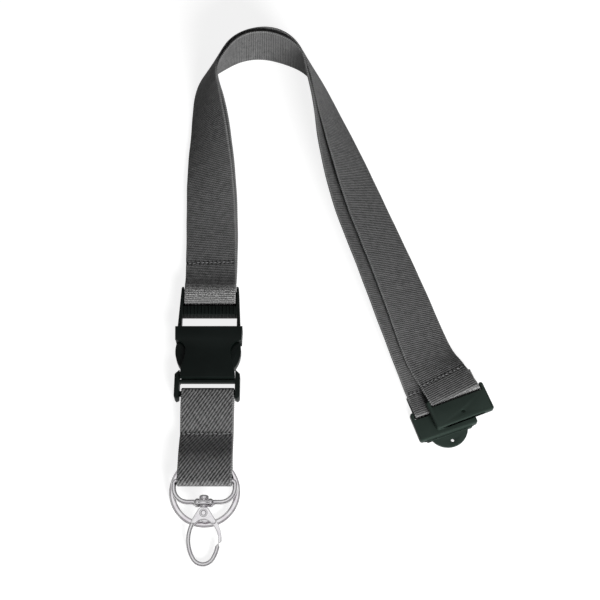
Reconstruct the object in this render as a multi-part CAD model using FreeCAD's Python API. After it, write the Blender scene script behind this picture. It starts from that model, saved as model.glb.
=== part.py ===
import FreeCAD, Part
import math
import os

# A neck lanyard of 25 mm webbing, lying on a table at z = 0, in millimetres.
# Two neck straps run side by side round a bend. At the near end they are sewn to a
# side-release buckle, which carries a short strap, a split ring and a swivel snap hook.
# Their other ends carry the two halves of a flat breakaway clasp.
# The origin is the centre of the buckle housing's back face. +Y runs up the left
# strand towards the bend, and +Z is up from the table.

Vec = FreeCAD.Vector
X_AXIS, Y_AXIS, Z_AXIS = Vec(1, 0, 0), Vec(0, 1, 0), Vec(0, 0, 1)

# ---- driving dimensions --------------------------------------------------------------
webbing_width = 25.0
webbing_thickness = 1.0
strap_side_clearance = 0.4
strap_bar_clearance = 0.15

housing_side = 3.3
housing_length = 27.2
housing_thickness = 8.5
housing_wall = 1.4
waist_inset = 0.2
mouth_flare = 0.1
button_window_length = 14.0
button_window_depth = 5.4
frame_length = 21.7
frame_end_rail = 1.1
frame_base_rail = 2.3
frame_thickness = 6.0
frame_lift = 0.8
frame_slot_length = 6.4
ribbed_bar_length = 4.2
rib_count = 15
rib_height = 0.4
top_bar_length = 4.4
top_bar_thickness = 2.8
top_bar_height = 4.4
top_bar_setback = 2.2

plug_leg_width = 2.6
plug_thickness = 6.4
plug_mouth_gap = 0.3
plug_band_length = 1.3
plug_leg_length = 8.1
plug_bar_setback = 4.9
plug_band_thickness = 2.8
plug_bar_diameter = 2.8
plug_insert_clearance = 0.25
plug_guide_width = 7.0
plug_insert_inset = 1.3
plug_shoulder_rise = 4.8
plug_shoulder_drop = 2.2
arm_pin_spacing = 16.6
arm_swing_room = 1.0
button_proud = 3.2
arm_flex_pin_diameter = 1.6
arm_pin_clearance = 0.05

lower_axis_x = 0.4
short_strap_reach = 43.6
bail_wire = 2.2
bail_drop = 9.6
bail_bar_height = 7.2
bail_corner = 6.5
collar_width = 8.4
collar_diameter = 3.9
post_diameter = 2.4
post_clearance = 0.05
post_knob_diameter = 4.6
post_knob_thickness = 1.8

ring_strap_clearance = 1.05
ring_band = 2.7
ring_thickness = 2.0

hook_wire = 2.1
hook_half_width = 6.75
hook_bottom_radius = 5.2
hook_length = 37.4
hook_head_thickness = 3.4
hook_tip_y = -29.2
gate_thickness = 1.5
gate_slot_clearance = 0.1
gate_pivot_diameter = 1.9
gate_pivot_clearance = 0.05
rivet_head_diameter = 3.8
rivet_head_height = 0.45

clasp_ear = 1.6
clasp_thickness = 3.8
clasp_face_length = 10.8
clasp_slot_length = 2.1
clasp_bar_diameter = 1.1
clasp_corner = 1.2
tab_base_width = 18.7
tab_reach = 7.0
tab_thickness = 1.5
tab_clearance = 0.25
tab_hole_diameter = 1.6
tab_hole_reach = 3.9

stitch_length = 1.5
stitch_thickness = 0.35
stitch_count = 11
stitch_lift = 0.05

# ---- values that follow from them ----------------------------------------------------
half_strap = webbing_width / 2
strap_gap_half = half_strap + strap_side_clearance
housing_width = 2 * (strap_gap_half + housing_side)
housing_waist = 2 * (strap_gap_half - waist_inset)
housing_mouth = 2 * (strap_gap_half + mouth_flare)
frame_end_width = 2 * (strap_gap_half + frame_end_rail)
frame_base_width = 2 * (strap_gap_half + frame_base_rail)
plug_width = 2 * (strap_gap_half + plug_leg_width)
clasp_width = 2 * (strap_gap_half + clasp_ear)
housing_top = housing_length / 2
mouth_y = -housing_top
window_top = 6.2
frame_end = housing_top + frame_length
ribbed_bar_start = housing_top + frame_slot_length + 0.6
ribbed_bar_end = ribbed_bar_start + ribbed_bar_length
top_bar_end = frame_end - top_bar_setback
top_bar_start = top_bar_end - top_bar_length

plug_middle = housing_thickness / 2
plug_band_top = mouth_y - plug_mouth_gap
plug_band_end = plug_band_top - plug_band_length
plug_leg_end = plug_band_end - plug_leg_length
plug_bar_y = plug_band_end - plug_bar_setback
insert_height = housing_thickness - 2 * (housing_wall + plug_insert_clearance)
insert_base_y = plug_band_top - 0.2

# The bail hangs in the short strap's lower fold and slopes down to the hook's tip,
# which lies on the table.
bail_y = plug_bar_y - short_strap_reach
bail_half_width = strap_gap_half + bail_wire / 2
rest_slope = math.asin((bail_bar_height - hook_wire / 2 - 0.15) / hook_length)
hook_bottom_y = -hook_length
pivot_y = -14.6
head_top_y = -12.2
head_base_y = -18.3
collar_y = -bail_drop - 0.35

ring_mean_radius = half_strap + ring_strap_clearance + ring_band / 2
ring_y = bail_y - 4.0
ring_height = ring_thickness / 2 + 0.05 + ring_mean_radius * math.sin(rest_slope)

# The short strap's two layers meet at its seam.
seam_y = (plug_bar_y + bail_y) / 2 + 1.6
seam_z = 3.4
seam_half = 2.0
seam_gap_half = 0.02

clasp_bar_v = 7.4
clasp_face_top = clasp_bar_v - clasp_bar_diameter / 2 - clasp_slot_length
clasp_face_bottom = clasp_face_top - clasp_face_length
tab_radius = ((tab_base_width / 2) ** 2 + tab_reach ** 2) / (2 * tab_reach)

# Each half of the clasp has its own place: centre, height of its middle plane, and turn.
tongue_place = {"centre": Vec(112.0, -33.0, clasp_thickness / 2), "turn": 19.5}
socket_place = {"centre": Vec(119.5, -28.0, clasp_thickness * 1.5 + 0.3), "turn": 21.0}

# ---- routes of the two neck straps ---------------------------------------------------
# Each point is the middle of the webbing: x, y, z, the compass direction of the strap's
# inner edge seen from above, and the angle at which that edge rises from the table.
# The heights are for a half width of 12.5; laid_route() keeps the lower edge where it is
# for any other width.
front_route = [
    (0.0, 52.0, 1.85, 0, 0),
    (0.0, 43.0, 1.77, 0, 0),
    (0.0, 34.5, 1.84, 0, 0),
    (0.0, 26.4, 1.8, 0, 0),
    (0.0, 26.4, 7.1, 0, 0),
    (0.0, 32.5, 7.2, 0, 0),
    (0.0, 44.5, 2.95, 0, 0),
    (-0.9, 71.2, 2.8, 0, 3),
    (-1.7, 89.2, 4.9, 0, 11),
    (-3.1, 108.2, 7.5, 0, 23),
    (-4.7, 124.2, 9.6, 0, 34),
    (-5.9, 137.5, 10.9, -5, 43),
    (-6.5, 148.8, 11.2, -15, 53),
    (-4.9, 158.4, 11.6, -29, 64),
    (-0.6, 167.5, 11.7, -40, 69),
    (5.4, 176.2, 11.7, -56, 68),
    (14.4, 181.7, 11.93, -73, 68),
    (26.2, 183.1, 12.13, -94, 71),
    (37.3, 179.2, 12.25, -118, 73),
    (46.7, 170.2, 12.25, -142, 73),
    (53.1, 155.5, 11.93, -152, 68),
    (58.5, 137.5, 10.91, -157, 57),
    (66.2, 114.9, 9.34, -158, 45),
    (76.2, 84.1, 7.02, -158, 31),
    (87.0, 54.9, 6.13, -158, 26),
    (96.8, 26.8, 5.15, -158, 20),
    (106.9, -0.2, 3.99, -158, 12),
    (113.0, -11.2, 6.3, -159, 1),
    (117.3, -22.3, 7.35, -159, 0),
    (117.3, -22.3, 4.7, -159, 0),
    (115.2, -16.8, 4.78, -159, 0),
    (113.4, -12.1, 4.7, -159, 0),
]
back_route = [
    (0.0, 40.2, 0.65, 0, 0),
    (-0.2, 53.2, 0.65, 0, 0),
    (-0.8, 71.2, 1.3, 0, 3),
    (-1.3, 89.2, 3.03, 0, 11),
    (-2.2, 108.2, 5.49, 0, 23),
    (-3.3, 124.2, 7.55, 0, 34),
    (-4.1, 137.4, 9.04, -5, 43),
    (-3.4, 148.5, 10.43, -17, 53),
    (-1.6, 157.3, 11.77, -35, 66),
    (2.7, 165.4, 12.44, -52, 77),
    (11.5, 173.8, 12.65, -70, 86),
    (23.5, 176.6, 12.65, -90, 90),
    (35.4, 173.2, 12.65, -112, 90),
    (44.5, 164.8, 12.63, -138, 84),
    (49.0, 152.9, 12.25, -150, 73),
    (55.8, 134.5, 11.51, -157, 63),
    (62.4, 113.3, 9.63, -158, 47),
    (71.2, 82.0, 7.2, -158, 32),
    (82.0, 52.8, 6.27, -158, 27),
    (91.8, 24.8, 5.1, -158, 21),
    (101.7, -2.3, 3.45, -158, 13),
    (106.2, -16.5, 2.0, -160.5, 1),
    (110.0, -27.2, 3.25, -160.5, 0),
    (110.0, -27.2, 0.6, -160.5, 0),
    (107.8, -21.2, 0.78, -160.5, 0),
    (106.3, -17.0, 0.7, -160.5, 0),
]
route_half_width = 12.5
longest_section_step = 8.0
arc_section_turn = math.radians(14)
neck_seam_at = 6.05
socket_seam_at = 27.15
tongue_seam_at = 21.15


# ---- small helpers -------------------------------------------------------------------
def block(x_range, y_range, z_range):
    """A box between two values on each axis."""
    low = Vec(min(x_range), min(y_range), min(z_range))
    size = [abs(b - a) for a, b in (x_range, y_range, z_range)]
    return Part.makeBox(*size, low)


def rod(centre, axis, diameter, length):
    """A cylinder whose middle is at centre."""
    return Part.makeCylinder(diameter / 2, length, centre - axis * (length / 2), axis)


def prism(edges, z_low, z_high):
    """A flat outline, given as edges in the plane z = 0, thickened between two heights."""
    face = Part.Face(Part.Wire(edges))
    face.translate(Vec(0, 0, z_low))
    return face.extrude(Vec(0, 0, z_high - z_low))


def outline(points):
    """Straight edges round a closed list of (x, y) points."""
    corners = [Vec(x, y, 0) for x, y in points]
    return [Part.LineSegment(a, b).toShape() for a, b in zip(corners, corners[1:] + corners[:1])]


def line(a, b):
    """One straight edge between two (x, y) points."""
    return Part.LineSegment(Vec(*a, 0), Vec(*b, 0)).toShape()


def arc(a, middle, b):
    """One circular edge through three (x, y) points."""
    return Part.Arc(Vec(*a, 0), Vec(*middle, 0), Vec(*b, 0)).toShape()


def edges_along(shape, axis):
    """The straight edges of a shape that run along an axis."""
    found = []
    for edge in shape.Edges:
        if len(edge.Vertexes) == 2 and edge.Curve.TypeId == "Part::GeomLine":
            direction = edge.Vertexes[1].Point - edge.Vertexes[0].Point
            if direction.cross(axis).Length < 1e-6 * direction.Length:
                found.append(edge)
    return found


def rim_edges(shape, height):
    """The edges of a shape that lie wholly at one height."""
    return [e for e in shape.Edges
            if abs(e.BoundBox.ZMin - height) < 1e-6 and abs(e.BoundBox.ZMax - height) < 1e-6]


def mirrored(shape):
    """The same shape on the other side of the plane x = 0."""
    return shape.mirror(Vec(0, 0, 0), X_AXIS)


# ---- webbing along a route -----------------------------------------------------------
def corner_radius(before, corner, after):
    """Turn, cut length and radius of the arc that rounds one corner of a route."""
    into, out = corner - before, after - corner
    turn = into.getAngle(out)
    cut = 0.45 * min(into.Length, out.Length)
    return turn, cut, cut / math.tan(turn / 2)


def laid_route(route):
    """A route's points, raised so that the lower edge of the webbing keeps its height."""
    extra = half_strap - route_half_width
    return [Vec(x, y, z + extra * math.sin(math.radians(rise))) for x, y, z, _, rise in route]


def route_samples(route):
    """Points along a route of straight runs and tangent arcs, each with its route index."""
    points = laid_route(route)
    samples = [(points[0], 0.0)]
    radii = []
    for i in range(1, len(points) - 1):
        before, corner, after = points[i - 1:i + 2]
        turn, cut, radius = corner_radius(before, corner, after)
        radii.append(radius)
        into = (corner - before).normalize()
        out = (after - corner).normalize()
        start, end = corner - into * cut, corner + out * cut
        span = cut / (corner - before).Length + cut / (after - corner).Length
        first = i - cut / (corner - before).Length
        across = (out - into).normalize()
        centre = corner + across * (radius / math.cos(turn / 2))
        steps = max(2, math.ceil(turn / arc_section_turn))
        for k in range(steps + 1):
            angle = turn * k / steps
            ahead = into * math.sin(angle) * radius
            side = (start - centre) * math.cos(angle)
            samples.append((centre + side + ahead, first + span * k / steps))
    samples.append((points[-1], float(len(points) - 1)))
    return samples, radii


def spread(samples):
    """The same samples with long straight runs cut into shorter steps."""
    result = [samples[0]]
    for point, place in samples[1:]:
        last_point, last_place = result[-1]
        pieces = max(1, math.ceil((point - last_point).Length / longest_section_step))
        for k in range(1, pieces + 1):
            share = k / pieces
            middle = last_point + (point - last_point) * share
            result.append((middle, last_place + (place - last_place) * share))
    return result


def width_direction(route, place):
    """Direction from the webbing's outer edge to its inner edge at a route index."""
    index = min(int(place), len(route) - 2)
    share = place - index
    ends = zip(route[index][3:], route[index + 1][3:])
    compass, rise = (math.radians(a + (b - a) * share) for a, b in ends)
    level = math.cos(rise)
    return Vec(level * math.cos(compass), level * math.sin(compass), math.sin(rise))


def sections(route):
    """Centre, travel, width and thickness directions of the webbing all along a route."""
    samples = spread(route_samples(route)[0])
    frames = []
    for i, (point, place) in enumerate(samples):
        ahead = samples[min(i + 1, len(samples) - 1)][0] - samples[max(i - 1, 0)][0]
        ahead.normalize()
        across = width_direction(route, place)
        across = (across - ahead * across.dot(ahead)).normalize()
        frames.append((point, ahead, across, ahead.cross(across), place))
    return frames


def webbing(route):
    """A closed solid of flat webbing along a route, made of flat three-sided faces."""
    rings = []
    for point, _, across, normal, _ in sections(route):
        w, t = across * half_strap, normal * (webbing_thickness / 2)
        rings.append([point - w - t, point + w - t, point + w + t, point - w + t])
    corners = [(rings[0][0], rings[0][1], rings[0][2]), (rings[0][0], rings[0][2], rings[0][3]),
               (rings[-1][0], rings[-1][2], rings[-1][1]), (rings[-1][0], rings[-1][3], rings[-1][2])]
    for a, b in zip(rings, rings[1:]):
        for k in range(4):
            n = (k + 1) % 4
            corners += [(a[k], b[k], b[n]), (a[k], b[n], a[n])]
    faces = [Part.Face(Part.makePolygon([p, q, r, p])) for p, q, r in corners]
    solid = Part.Solid(Part.Shell(faces))
    if solid.Volume < 0:
        solid.reverse()
    return solid


def route_length(route):
    """Length of the rounded route."""
    samples = [p for p, _ in route_samples(route)[0]]
    return sum((b - a).Length for a, b in zip(samples, samples[1:]))


def stitches(frame):
    """A row of sewing threads lying across the webbing's upper face at one section."""
    point, ahead, across, normal, _ = frame
    up = normal if normal.z > 0 else normal * -1
    pitch = (webbing_width - 2) / stitch_count
    matrix = FreeCAD.Matrix(across.x, ahead.x, up.x, 0,
                            across.y, ahead.y, up.y, 0,
                            across.z, ahead.z, up.z, 0)
    threads = []
    for k in range(stitch_count):
        thread = Part.makeBox(stitch_length, stitch_thickness, stitch_thickness,
                              Vec(-stitch_length / 2, -stitch_thickness / 2, 0))
        offset = (k - (stitch_count - 1) / 2) * pitch
        base = point + across * offset + up * (webbing_thickness / 2 + stitch_lift)
        thread = thread.transformGeometry(matrix)
        thread.translate(base)
        threads.append(thread)
    return Part.makeCompound(threads)


def section_near(route, place):
    """The section of a route that lies nearest a route index."""
    return min(sections(route), key=lambda frame: abs(frame[4] - place))


# ---- side-release buckle -------------------------------------------------------------
def housing_half_outline():
    """Edges of the housing body's right half, from the frame's side round to the mouth."""
    window_bottom = window_top - button_window_length
    inner = housing_width / 2 - button_window_depth
    return [
        line((0, housing_top), (housing_width / 2, housing_top)),
        line((housing_width / 2, housing_top), (housing_width / 2 - 0.3, window_top)),
        arc((housing_width / 2 - 0.3, window_top), (inner + 1.7, window_top - 1.5),
            (inner, window_top - 5.0)),
        arc((inner, window_top - 5.0), (inner + 0.5, window_top - 9.5), (housing_waist / 2, window_bottom)),
        line((housing_waist / 2, window_bottom), (housing_mouth / 2, mouth_y)),
        line((housing_mouth / 2, mouth_y), (0, mouth_y)),
    ]


def mirrored_outline(edges):
    """A right half outline together with its mirror image."""
    return edges + [mirrored(edge) for edge in edges]


def buckle_housing():
    """The female half: a two-walled body and the slotted frame that holds the neck straps."""
    body = prism(Part.sortEdges(mirrored_outline(housing_half_outline()))[0], 0, housing_thickness)
    ends = [e for e in edges_along(body, X_AXIS) if e.BoundBox.YLength < 1e-6]
    body = body.makeChamfer(0.6, ends)
    cavity = block((-housing_width, housing_width), (mouth_y - 1, window_top + arm_swing_room - 0.4),
                   (housing_wall, housing_thickness - housing_wall))
    z_low, z_high = frame_lift, frame_lift + frame_thickness
    base, end = frame_base_width / 2, frame_end_width / 2
    corners = [(-base, housing_top - 1), (base, housing_top - 1), (end, frame_end), (-end, frame_end)]
    frame = prism(outline(corners), z_low, z_high)
    frame = frame.makeFillet(0.9, edges_along(frame, Z_AXIS)[2:4])
    slot_half = strap_gap_half + 0.5
    slot = block((-slot_half, slot_half), (housing_top, ribbed_bar_start), (-1, z_high + 1))
    strap_way = block((-strap_gap_half, strap_gap_half), (ribbed_bar_end, frame_end + 1), (-1, z_high + 1))
    frame = frame.cut(slot).cut(strap_way)
    bar = block((-frame_end_width / 2 + 0.3, frame_end_width / 2 - 0.3), (top_bar_start, top_bar_end),
                (top_bar_height - top_bar_thickness / 2, top_bar_height + top_bar_thickness / 2))
    bar = bar.makeFillet(top_bar_thickness * 0.45, edges_along(bar, X_AXIS))
    shape = body.cut(cavity).fuse([frame, bar])
    rib_pitch = 2 * strap_gap_half / rib_count
    for k in range(rib_count):
        x = (k - (rib_count - 1) / 2) * rib_pitch
        rib = block((x - rib_pitch * 0.28, x + rib_pitch * 0.28),
                    (ribbed_bar_start - rib_height, ribbed_bar_end), (z_low + 1, z_high + rib_height))
        shape = shape.fuse(rib)
    return shape.removeSplitter()


def buckle_plug():
    """The male half without its arms: strap frame, bar, insert and guide tongue."""
    half, inner = plug_width / 2, strap_gap_half + 0.3
    z_low, z_high = plug_middle - plug_thickness / 2, plug_middle + plug_thickness / 2
    shoulder_inner = housing_mouth / 2 + plug_insert_clearance
    shoulder_top = mouth_y + plug_shoulder_rise
    shoulder = [(shoulder_inner, plug_band_top), (shoulder_inner, shoulder_top),
                (half, shoulder_top - plug_shoulder_drop), (half, plug_leg_end + 1.0),
                (half - 0.9, plug_leg_end), (inner, plug_leg_end + 0.7), (inner, plug_band_end),
                (0, plug_band_end), (0, plug_band_top)]
    right = prism(outline(shoulder), z_low, z_high)
    band_low = z_high - plug_band_thickness
    right = right.cut(block((0, inner), (plug_band_end - 1, plug_band_top + 1), (z_low - 1, band_low)))
    shape = right.fuse(mirrored(right))
    shape = shape.fuse(rod(Vec(0, plug_bar_y, plug_middle), X_AXIS, plug_bar_diameter, 2 * inner + 1))
    low, high = plug_middle - insert_height / 2, plug_middle + insert_height / 2
    insert_half = strap_gap_half - plug_insert_inset
    insert = block((-insert_half, insert_half), (insert_base_y, arm_pin_centre(1).y), (low, high))
    guide = block((-plug_guide_width / 2, plug_guide_width / 2), (mouth_y, window_top - 2.2), (low, high))
    guide = guide.makeChamfer(1.2, [e for e in edges_along(guide, Z_AXIS) if e.BoundBox.YMin > 0])
    shape = shape.fuse([insert, guide])
    pocket_diameter = 2 * (arm_root_radius() + plug_insert_clearance)
    for side in (-1, 1):
        pocket = rod(arm_pin_centre(side), Z_AXIS, pocket_diameter, insert_height + 0.2)
        pin = rod(arm_pin_centre(side), Z_AXIS, arm_flex_pin_diameter, insert_height)
        shape = shape.cut(pocket).fuse(pin)
        shape = shape.fuse(plug_pin_floor(side, low))
    return shape.removeSplitter()


def arm_root_radius():
    """Radius of the round root that each arm turns on."""
    return arm_flex_pin_diameter / 2 + 1.0


def arm_pin_centre(side):
    """Centre of an arm's pin, on the right for side 1 and on the left for side -1."""
    return Vec(side * arm_pin_spacing / 2, mouth_y + 1.0, plug_middle)


def plug_pin_floor(side, low):
    """A thin floor under one arm's root that carries its pin."""
    centre = arm_pin_centre(side)
    floor = rod(Vec(centre.x, centre.y, low + 0.3), Z_AXIS, 2 * arm_root_radius() + 1.2, 0.6)
    return floor.common(block((-half_strap, half_strap), (insert_base_y, window_top), (low, low + 0.6)))


def plug_arm():
    """The right spring arm, with the release button that bulges from the housing's side."""
    pin = arm_pin_centre(1)
    root = arm_root_radius()
    reach = housing_width / 2 - button_window_depth + button_proud
    outer = reach + 1.7
    low = plug_middle - insert_height / 2 + 0.6 + 0.1
    high = plug_middle + insert_height / 2
    edges = [
        line((pin.x - root, pin.y), (pin.x - 0.4, -3.5)),
        line((pin.x - 0.4, -3.5), (outer - 4.6, window_top - 0.4)),
        line((outer - 4.6, window_top - 0.4), (outer - 0.7, window_top - 0.4)),
        arc((outer - 0.7, window_top - 0.4), (outer, window_top - 6.2), (housing_waist / 2 - 0.2, -8.2)),
        line((housing_waist / 2 - 0.2, -8.2), (pin.x + root, pin.y)),
        line((pin.x + root, pin.y), (pin.x - root, pin.y)),
    ]
    arm = prism(edges, low, high)
    arm = arm.fuse(Part.makeCylinder(root, high - low, Vec(pin.x, pin.y, low)))
    bore = arm_flex_pin_diameter + 2 * arm_pin_clearance
    return arm.cut(Part.makeCylinder(bore / 2, 20, Vec(pin.x, pin.y, -5))).removeSplitter()


# ---- short strap between the plug and the bail ----------------------------------------
def hull_of_circles(circles):
    """Outline face, in the plane x = 0, wrapped over a chain of (y, z, radius) circles."""
    face = None
    for (ya, za, ra), (yb, zb, rb) in zip(circles, circles[1:]):
        distance = math.hypot(yb - ya, zb - za)
        heading = math.atan2(zb - za, yb - ya)
        lean = math.acos((ra - rb) / distance)
        ring = []
        for y, z, r, first, last in ((ya, za, ra, lean, 2 * math.pi - lean), (yb, zb, rb, -lean, lean)):
            ring.append([Vec(0, y + r * math.cos(heading + a), z + r * math.sin(heading + a))
                         for a in (first, (first + last) / 2, last)])
        edges = [Part.Arc(*ring[0]).toShape(), Part.LineSegment(ring[0][2], ring[1][0]).toShape(),
                 Part.Arc(*ring[1]).toShape(), Part.LineSegment(ring[1][2], ring[0][0]).toShape()]
        piece = Part.Face(Part.Wire(edges)).extrude(Vec(webbing_width, 0, 0))
        face = piece if face is None else face.fuse(piece)
    face.translate(Vec(-half_strap + lower_axis_x, 0, 0))
    return face


def ring_point(offset):
    """(y, z) of the split ring's middle plane at a distance along its slope."""
    return ring_y + offset * math.cos(rest_slope), ring_height + offset * math.sin(rest_slope)


def short_strap():
    """A loop of webbing, pinched together by its seam between the two folds."""
    plug_fold = (plug_bar_y, plug_middle, plug_bar_diameter / 2 + strap_bar_clearance)
    bail_fold = (bail_y, bail_bar_height, bail_wire / 2 + strap_bar_clearance)
    ring_top = (*ring_point(ring_mean_radius), ring_band / 2 + 0.6)
    inner_edge = math.sqrt((ring_mean_radius - ring_band / 2) ** 2 - half_strap ** 2)
    ring_exit = (*ring_point(inner_edge + 0.5), ring_thickness / 2 + 0.35)
    pocket_a = [plug_fold, (seam_y + seam_half, seam_z, seam_gap_half)]
    pocket_b = [(seam_y - seam_half, seam_z, seam_gap_half), ring_top, ring_exit, bail_fold]
    t = webbing_thickness
    outer = [(y, z, r + t) for y, z, r in pocket_a + pocket_b]
    pockets = [hull_of_circles(pocket_a), hull_of_circles(pocket_b)]
    return hull_of_circles(outer).cut(pockets).removeSplitter()


# ---- swivel, split ring and snap hook -------------------------------------------------
def lay_down(shape):
    """Place a shape, drawn flat about the bail's bar, at its slope on the table."""
    turn = FreeCAD.Rotation(X_AXIS, math.degrees(rest_slope))
    moved = shape.copy()
    moved.Placement = FreeCAD.Placement(Vec(lower_axis_x, bail_y, bail_bar_height), turn)
    return moved


def pipe(edges, diameter):
    """A round wire swept along joined edges."""
    path = Part.Wire(Part.sortEdges(edges)[0])
    start = edges[0].Vertexes[0].Point
    tangent = edges[0].tangentAt(edges[0].FirstParameter)
    profile = Part.Wire(Part.makeCircle(diameter / 2, start, tangent))
    return path.makePipeShell([profile], True, False)


def swivel_bail():
    """The D-shaped wire loop with the bored collar that the hook turns in."""
    w, r, bottom = bail_half_width, bail_corner, -bail_drop
    small = 1.4
    s = math.sqrt(0.5)
    edges = [
        line((0, 0), (w - small, 0)),
        arc((w - small, 0), (w - small + small * s, -small + small * s), (w, -small)),
        line((w, -small), (w, bottom + r)),
        arc((w, bottom + r), (w - r + r * s, bottom + r - r * s), (w - r, bottom)),
        line((w - r, bottom), (0, bottom)),
    ]
    loop = pipe(mirrored_outline(edges), bail_wire)
    collar = rod(Vec(0, collar_y, 0), X_AXIS, collar_diameter, collar_width)
    bore = rod(Vec(0, collar_y, 0), Y_AXIS, post_diameter + 2 * post_clearance, 3 * collar_diameter)
    knob_seat = block((-post_knob_diameter, post_knob_diameter),
                      (collar_y + collar_diameter / 2 - 0.3, collar_y + collar_diameter), (-3, 3))
    neck_seat = block((-2.6, 2.6), (head_top_y - 1, collar_y - collar_diameter / 2 + 0.25), (-3, 3))
    return lay_down(loop.fuse(collar).cut(bore).cut(knob_seat).cut(neck_seat).Solids[0])


def swivel_post():
    """The headed pin that hangs the hook in the collar."""
    knob_base = collar_y + collar_diameter / 2 - 0.3 + 0.15
    knob = Part.makeCylinder(post_knob_diameter / 2, post_knob_thickness, Vec(0, knob_base, 0), Y_AXIS)
    knob_end = knob_base + post_knob_thickness
    rim = [e for e in knob.Edges
           if abs(e.BoundBox.YMin - knob_end) < 1e-4 and e.Curve.TypeId == "Part::GeomCircle"]
    knob = knob.makeFillet(0.6, rim)
    shaft = Part.makeCylinder(post_diameter / 2, knob_base - head_top_y, Vec(0, head_top_y, 0), Y_AXIS)
    return lay_down(knob.fuse(shaft).removeSplitter())


def split_ring():
    """The key ring: a flat band of two turns, seen as a groove round its edge."""
    inner, half = ring_mean_radius - ring_band / 2, ring_thickness / 2
    outer, groove, bevel = inner + ring_band, 0.3, 0.3
    points = [(inner + bevel, -half), (outer - bevel, -half), (outer, -half + bevel), (outer, -groove / 2),
              (outer - groove, 0), (outer, groove / 2), (outer, half - bevel), (outer - bevel, half),
              (inner + bevel, half), (inner, half - bevel), (inner, groove / 2), (inner + groove, 0),
              (inner, -groove / 2), (inner, -half + bevel)]
    profile = Part.makePolygon([Vec(r, 0, z) for r, z in points + points[:1]])
    shape = Part.Face(profile).revolve(Vec(0, 0, 0), Z_AXIS, 360)
    turn = FreeCAD.Rotation(X_AXIS, math.degrees(rest_slope))
    shape.Placement = FreeCAD.Placement(Vec(lower_axis_x, ring_y, ring_height), turn)
    return shape


def flank_radius():
    """Radius of the hook's flank arcs, which meet its bottom arc smoothly."""
    rise = flank_middle_y() - (hook_bottom_y + hook_bottom_radius)
    a, b = hook_half_width, hook_bottom_radius
    return (a * a + rise * rise - b * b) / (2 * (a - b))


def flank_middle_y():
    """Height at which the hook is widest."""
    return hook_bottom_y + hook_length * 0.2915


def flank_point(y, side):
    """The point of the hook's flank arc at one height."""
    radius = flank_radius()
    x = -hook_half_width + radius - math.sqrt(radius ** 2 - (y - flank_middle_y()) ** 2)
    return (-side * x, y)


def hook_body():
    """Head and J-shaped arm in one piece, slotted for the gate."""
    radius = flank_radius()
    bottom_centre = hook_bottom_y + hook_bottom_radius
    gap = math.hypot(radius - hook_half_width, bottom_centre - flank_middle_y())
    cos_t, sin_t = (radius - hook_half_width) / gap, (flank_middle_y() - bottom_centre) / gap
    joint = (hook_bottom_radius * cos_t, bottom_centre - hook_bottom_radius * sin_t)
    top, tip = flank_point(head_base_y + 1.0, -1), flank_point(hook_tip_y, 1)
    mid_left = flank_point((top[1] + joint[1]) / 2, -1)
    mid_right = flank_point((tip[1] + joint[1]) / 2, 1)
    left_joint = (-joint[0], joint[1])
    arm = pipe([arc(top, mid_left, left_joint), arc(left_joint, (0, hook_bottom_y), joint),
                arc(joint, mid_right, tip)], hook_wire)
    half = hook_head_thickness / 2
    head = prism(outline([(-1.8, head_top_y), (1.8, head_top_y), (5.6, head_base_y + 0.4),
                          (5.4, head_base_y - 0.4), (-5.4, head_base_y - 0.4),
                          (-5.6, head_base_y + 0.4)]), -half, half)
    head = head.cut(rod(Vec(0, head_base_y - 3.9, 0), Z_AXIS, 9.4, 20))
    head = head.makeChamfer(0.4, rim_edges(head, half) + rim_edges(head, -half))
    slot_half = gate_thickness / 2 + gate_slot_clearance
    slot = block((-2.9, 9), (head_base_y - 3, head_top_y - 0.7), (-slot_half, slot_half))
    hole = rod(Vec(0, pivot_y, 0), Z_AXIS, gate_pivot_diameter, 20)
    return lay_down(head.cut(slot).cut(hole).fuse(arm).removeSplitter())


def hook_gate():
    """The sprung arm that closes the hook and swings inwards about the rivet."""
    pivot = Vec(0, pivot_y, 0)
    tip_x = flank_point(hook_tip_y, 1)[0]
    reach = math.hypot(tip_x - hook_wire / 2, hook_tip_y - pivot_y) - 0.35
    tip_outer = (tip_x + 1.75, pivot_y - math.sqrt(reach ** 2 - (tip_x + 1.75) ** 2))
    tip_inner = (tip_x + 0.1, pivot_y - math.sqrt(reach ** 2 - (tip_x + 0.1) ** 2))
    edges = [
        line((1.0, pivot_y + 1.2), (5.3, -17.3)),
        arc((5.3, -17.3), (7.55, -21.8), tip_outer),
        line(tip_outer, tip_inner),
        arc(tip_inner, (5.6, -21.9), (2.3, -18.2)),
        line((2.3, -18.2), (0, pivot_y - 1.0)),
        line((0, pivot_y - 1.0), (1.0, pivot_y + 1.2)),
    ]
    half = gate_thickness / 2
    gate = prism(edges, -half, half)
    gate = gate.fuse(Part.makeCylinder(1.6, gate_thickness, Vec(0, pivot_y, -half)))
    gate = gate.fuse(Part.makeCylinder(2.0, gate_thickness, Vec(0.6, pivot_y - 2.3, -half)))
    bore = gate_pivot_diameter + 2 * gate_pivot_clearance
    return lay_down(gate.cut(rod(pivot, Z_AXIS, bore, 20)).removeSplitter())


def gate_rivet():
    """The rivet through the head that the gate turns on."""
    half = hook_head_thickness / 2
    shape = rod(Vec(0, pivot_y, 0), Z_AXIS, gate_pivot_diameter, 2 * half)
    for side in (-1, 1):
        middle = Vec(0, pivot_y, side * (half + rivet_head_height / 2))
        cap = rod(middle, Z_AXIS, rivet_head_diameter, rivet_head_height)
        rim = side * (half + rivet_head_height)
        shape = shape.fuse(cap.makeFillet(0.3, rim_edges(cap, rim)))
    return lay_down(shape.removeSplitter())


def gate_spring():
    """The leaf that presses the gate outwards, standing in the head's slot."""
    leaf = block((-2.88, -2.5), (head_base_y + 1.3, head_top_y - 0.9), (-0.7, 0.7))
    return lay_down(leaf)


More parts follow.
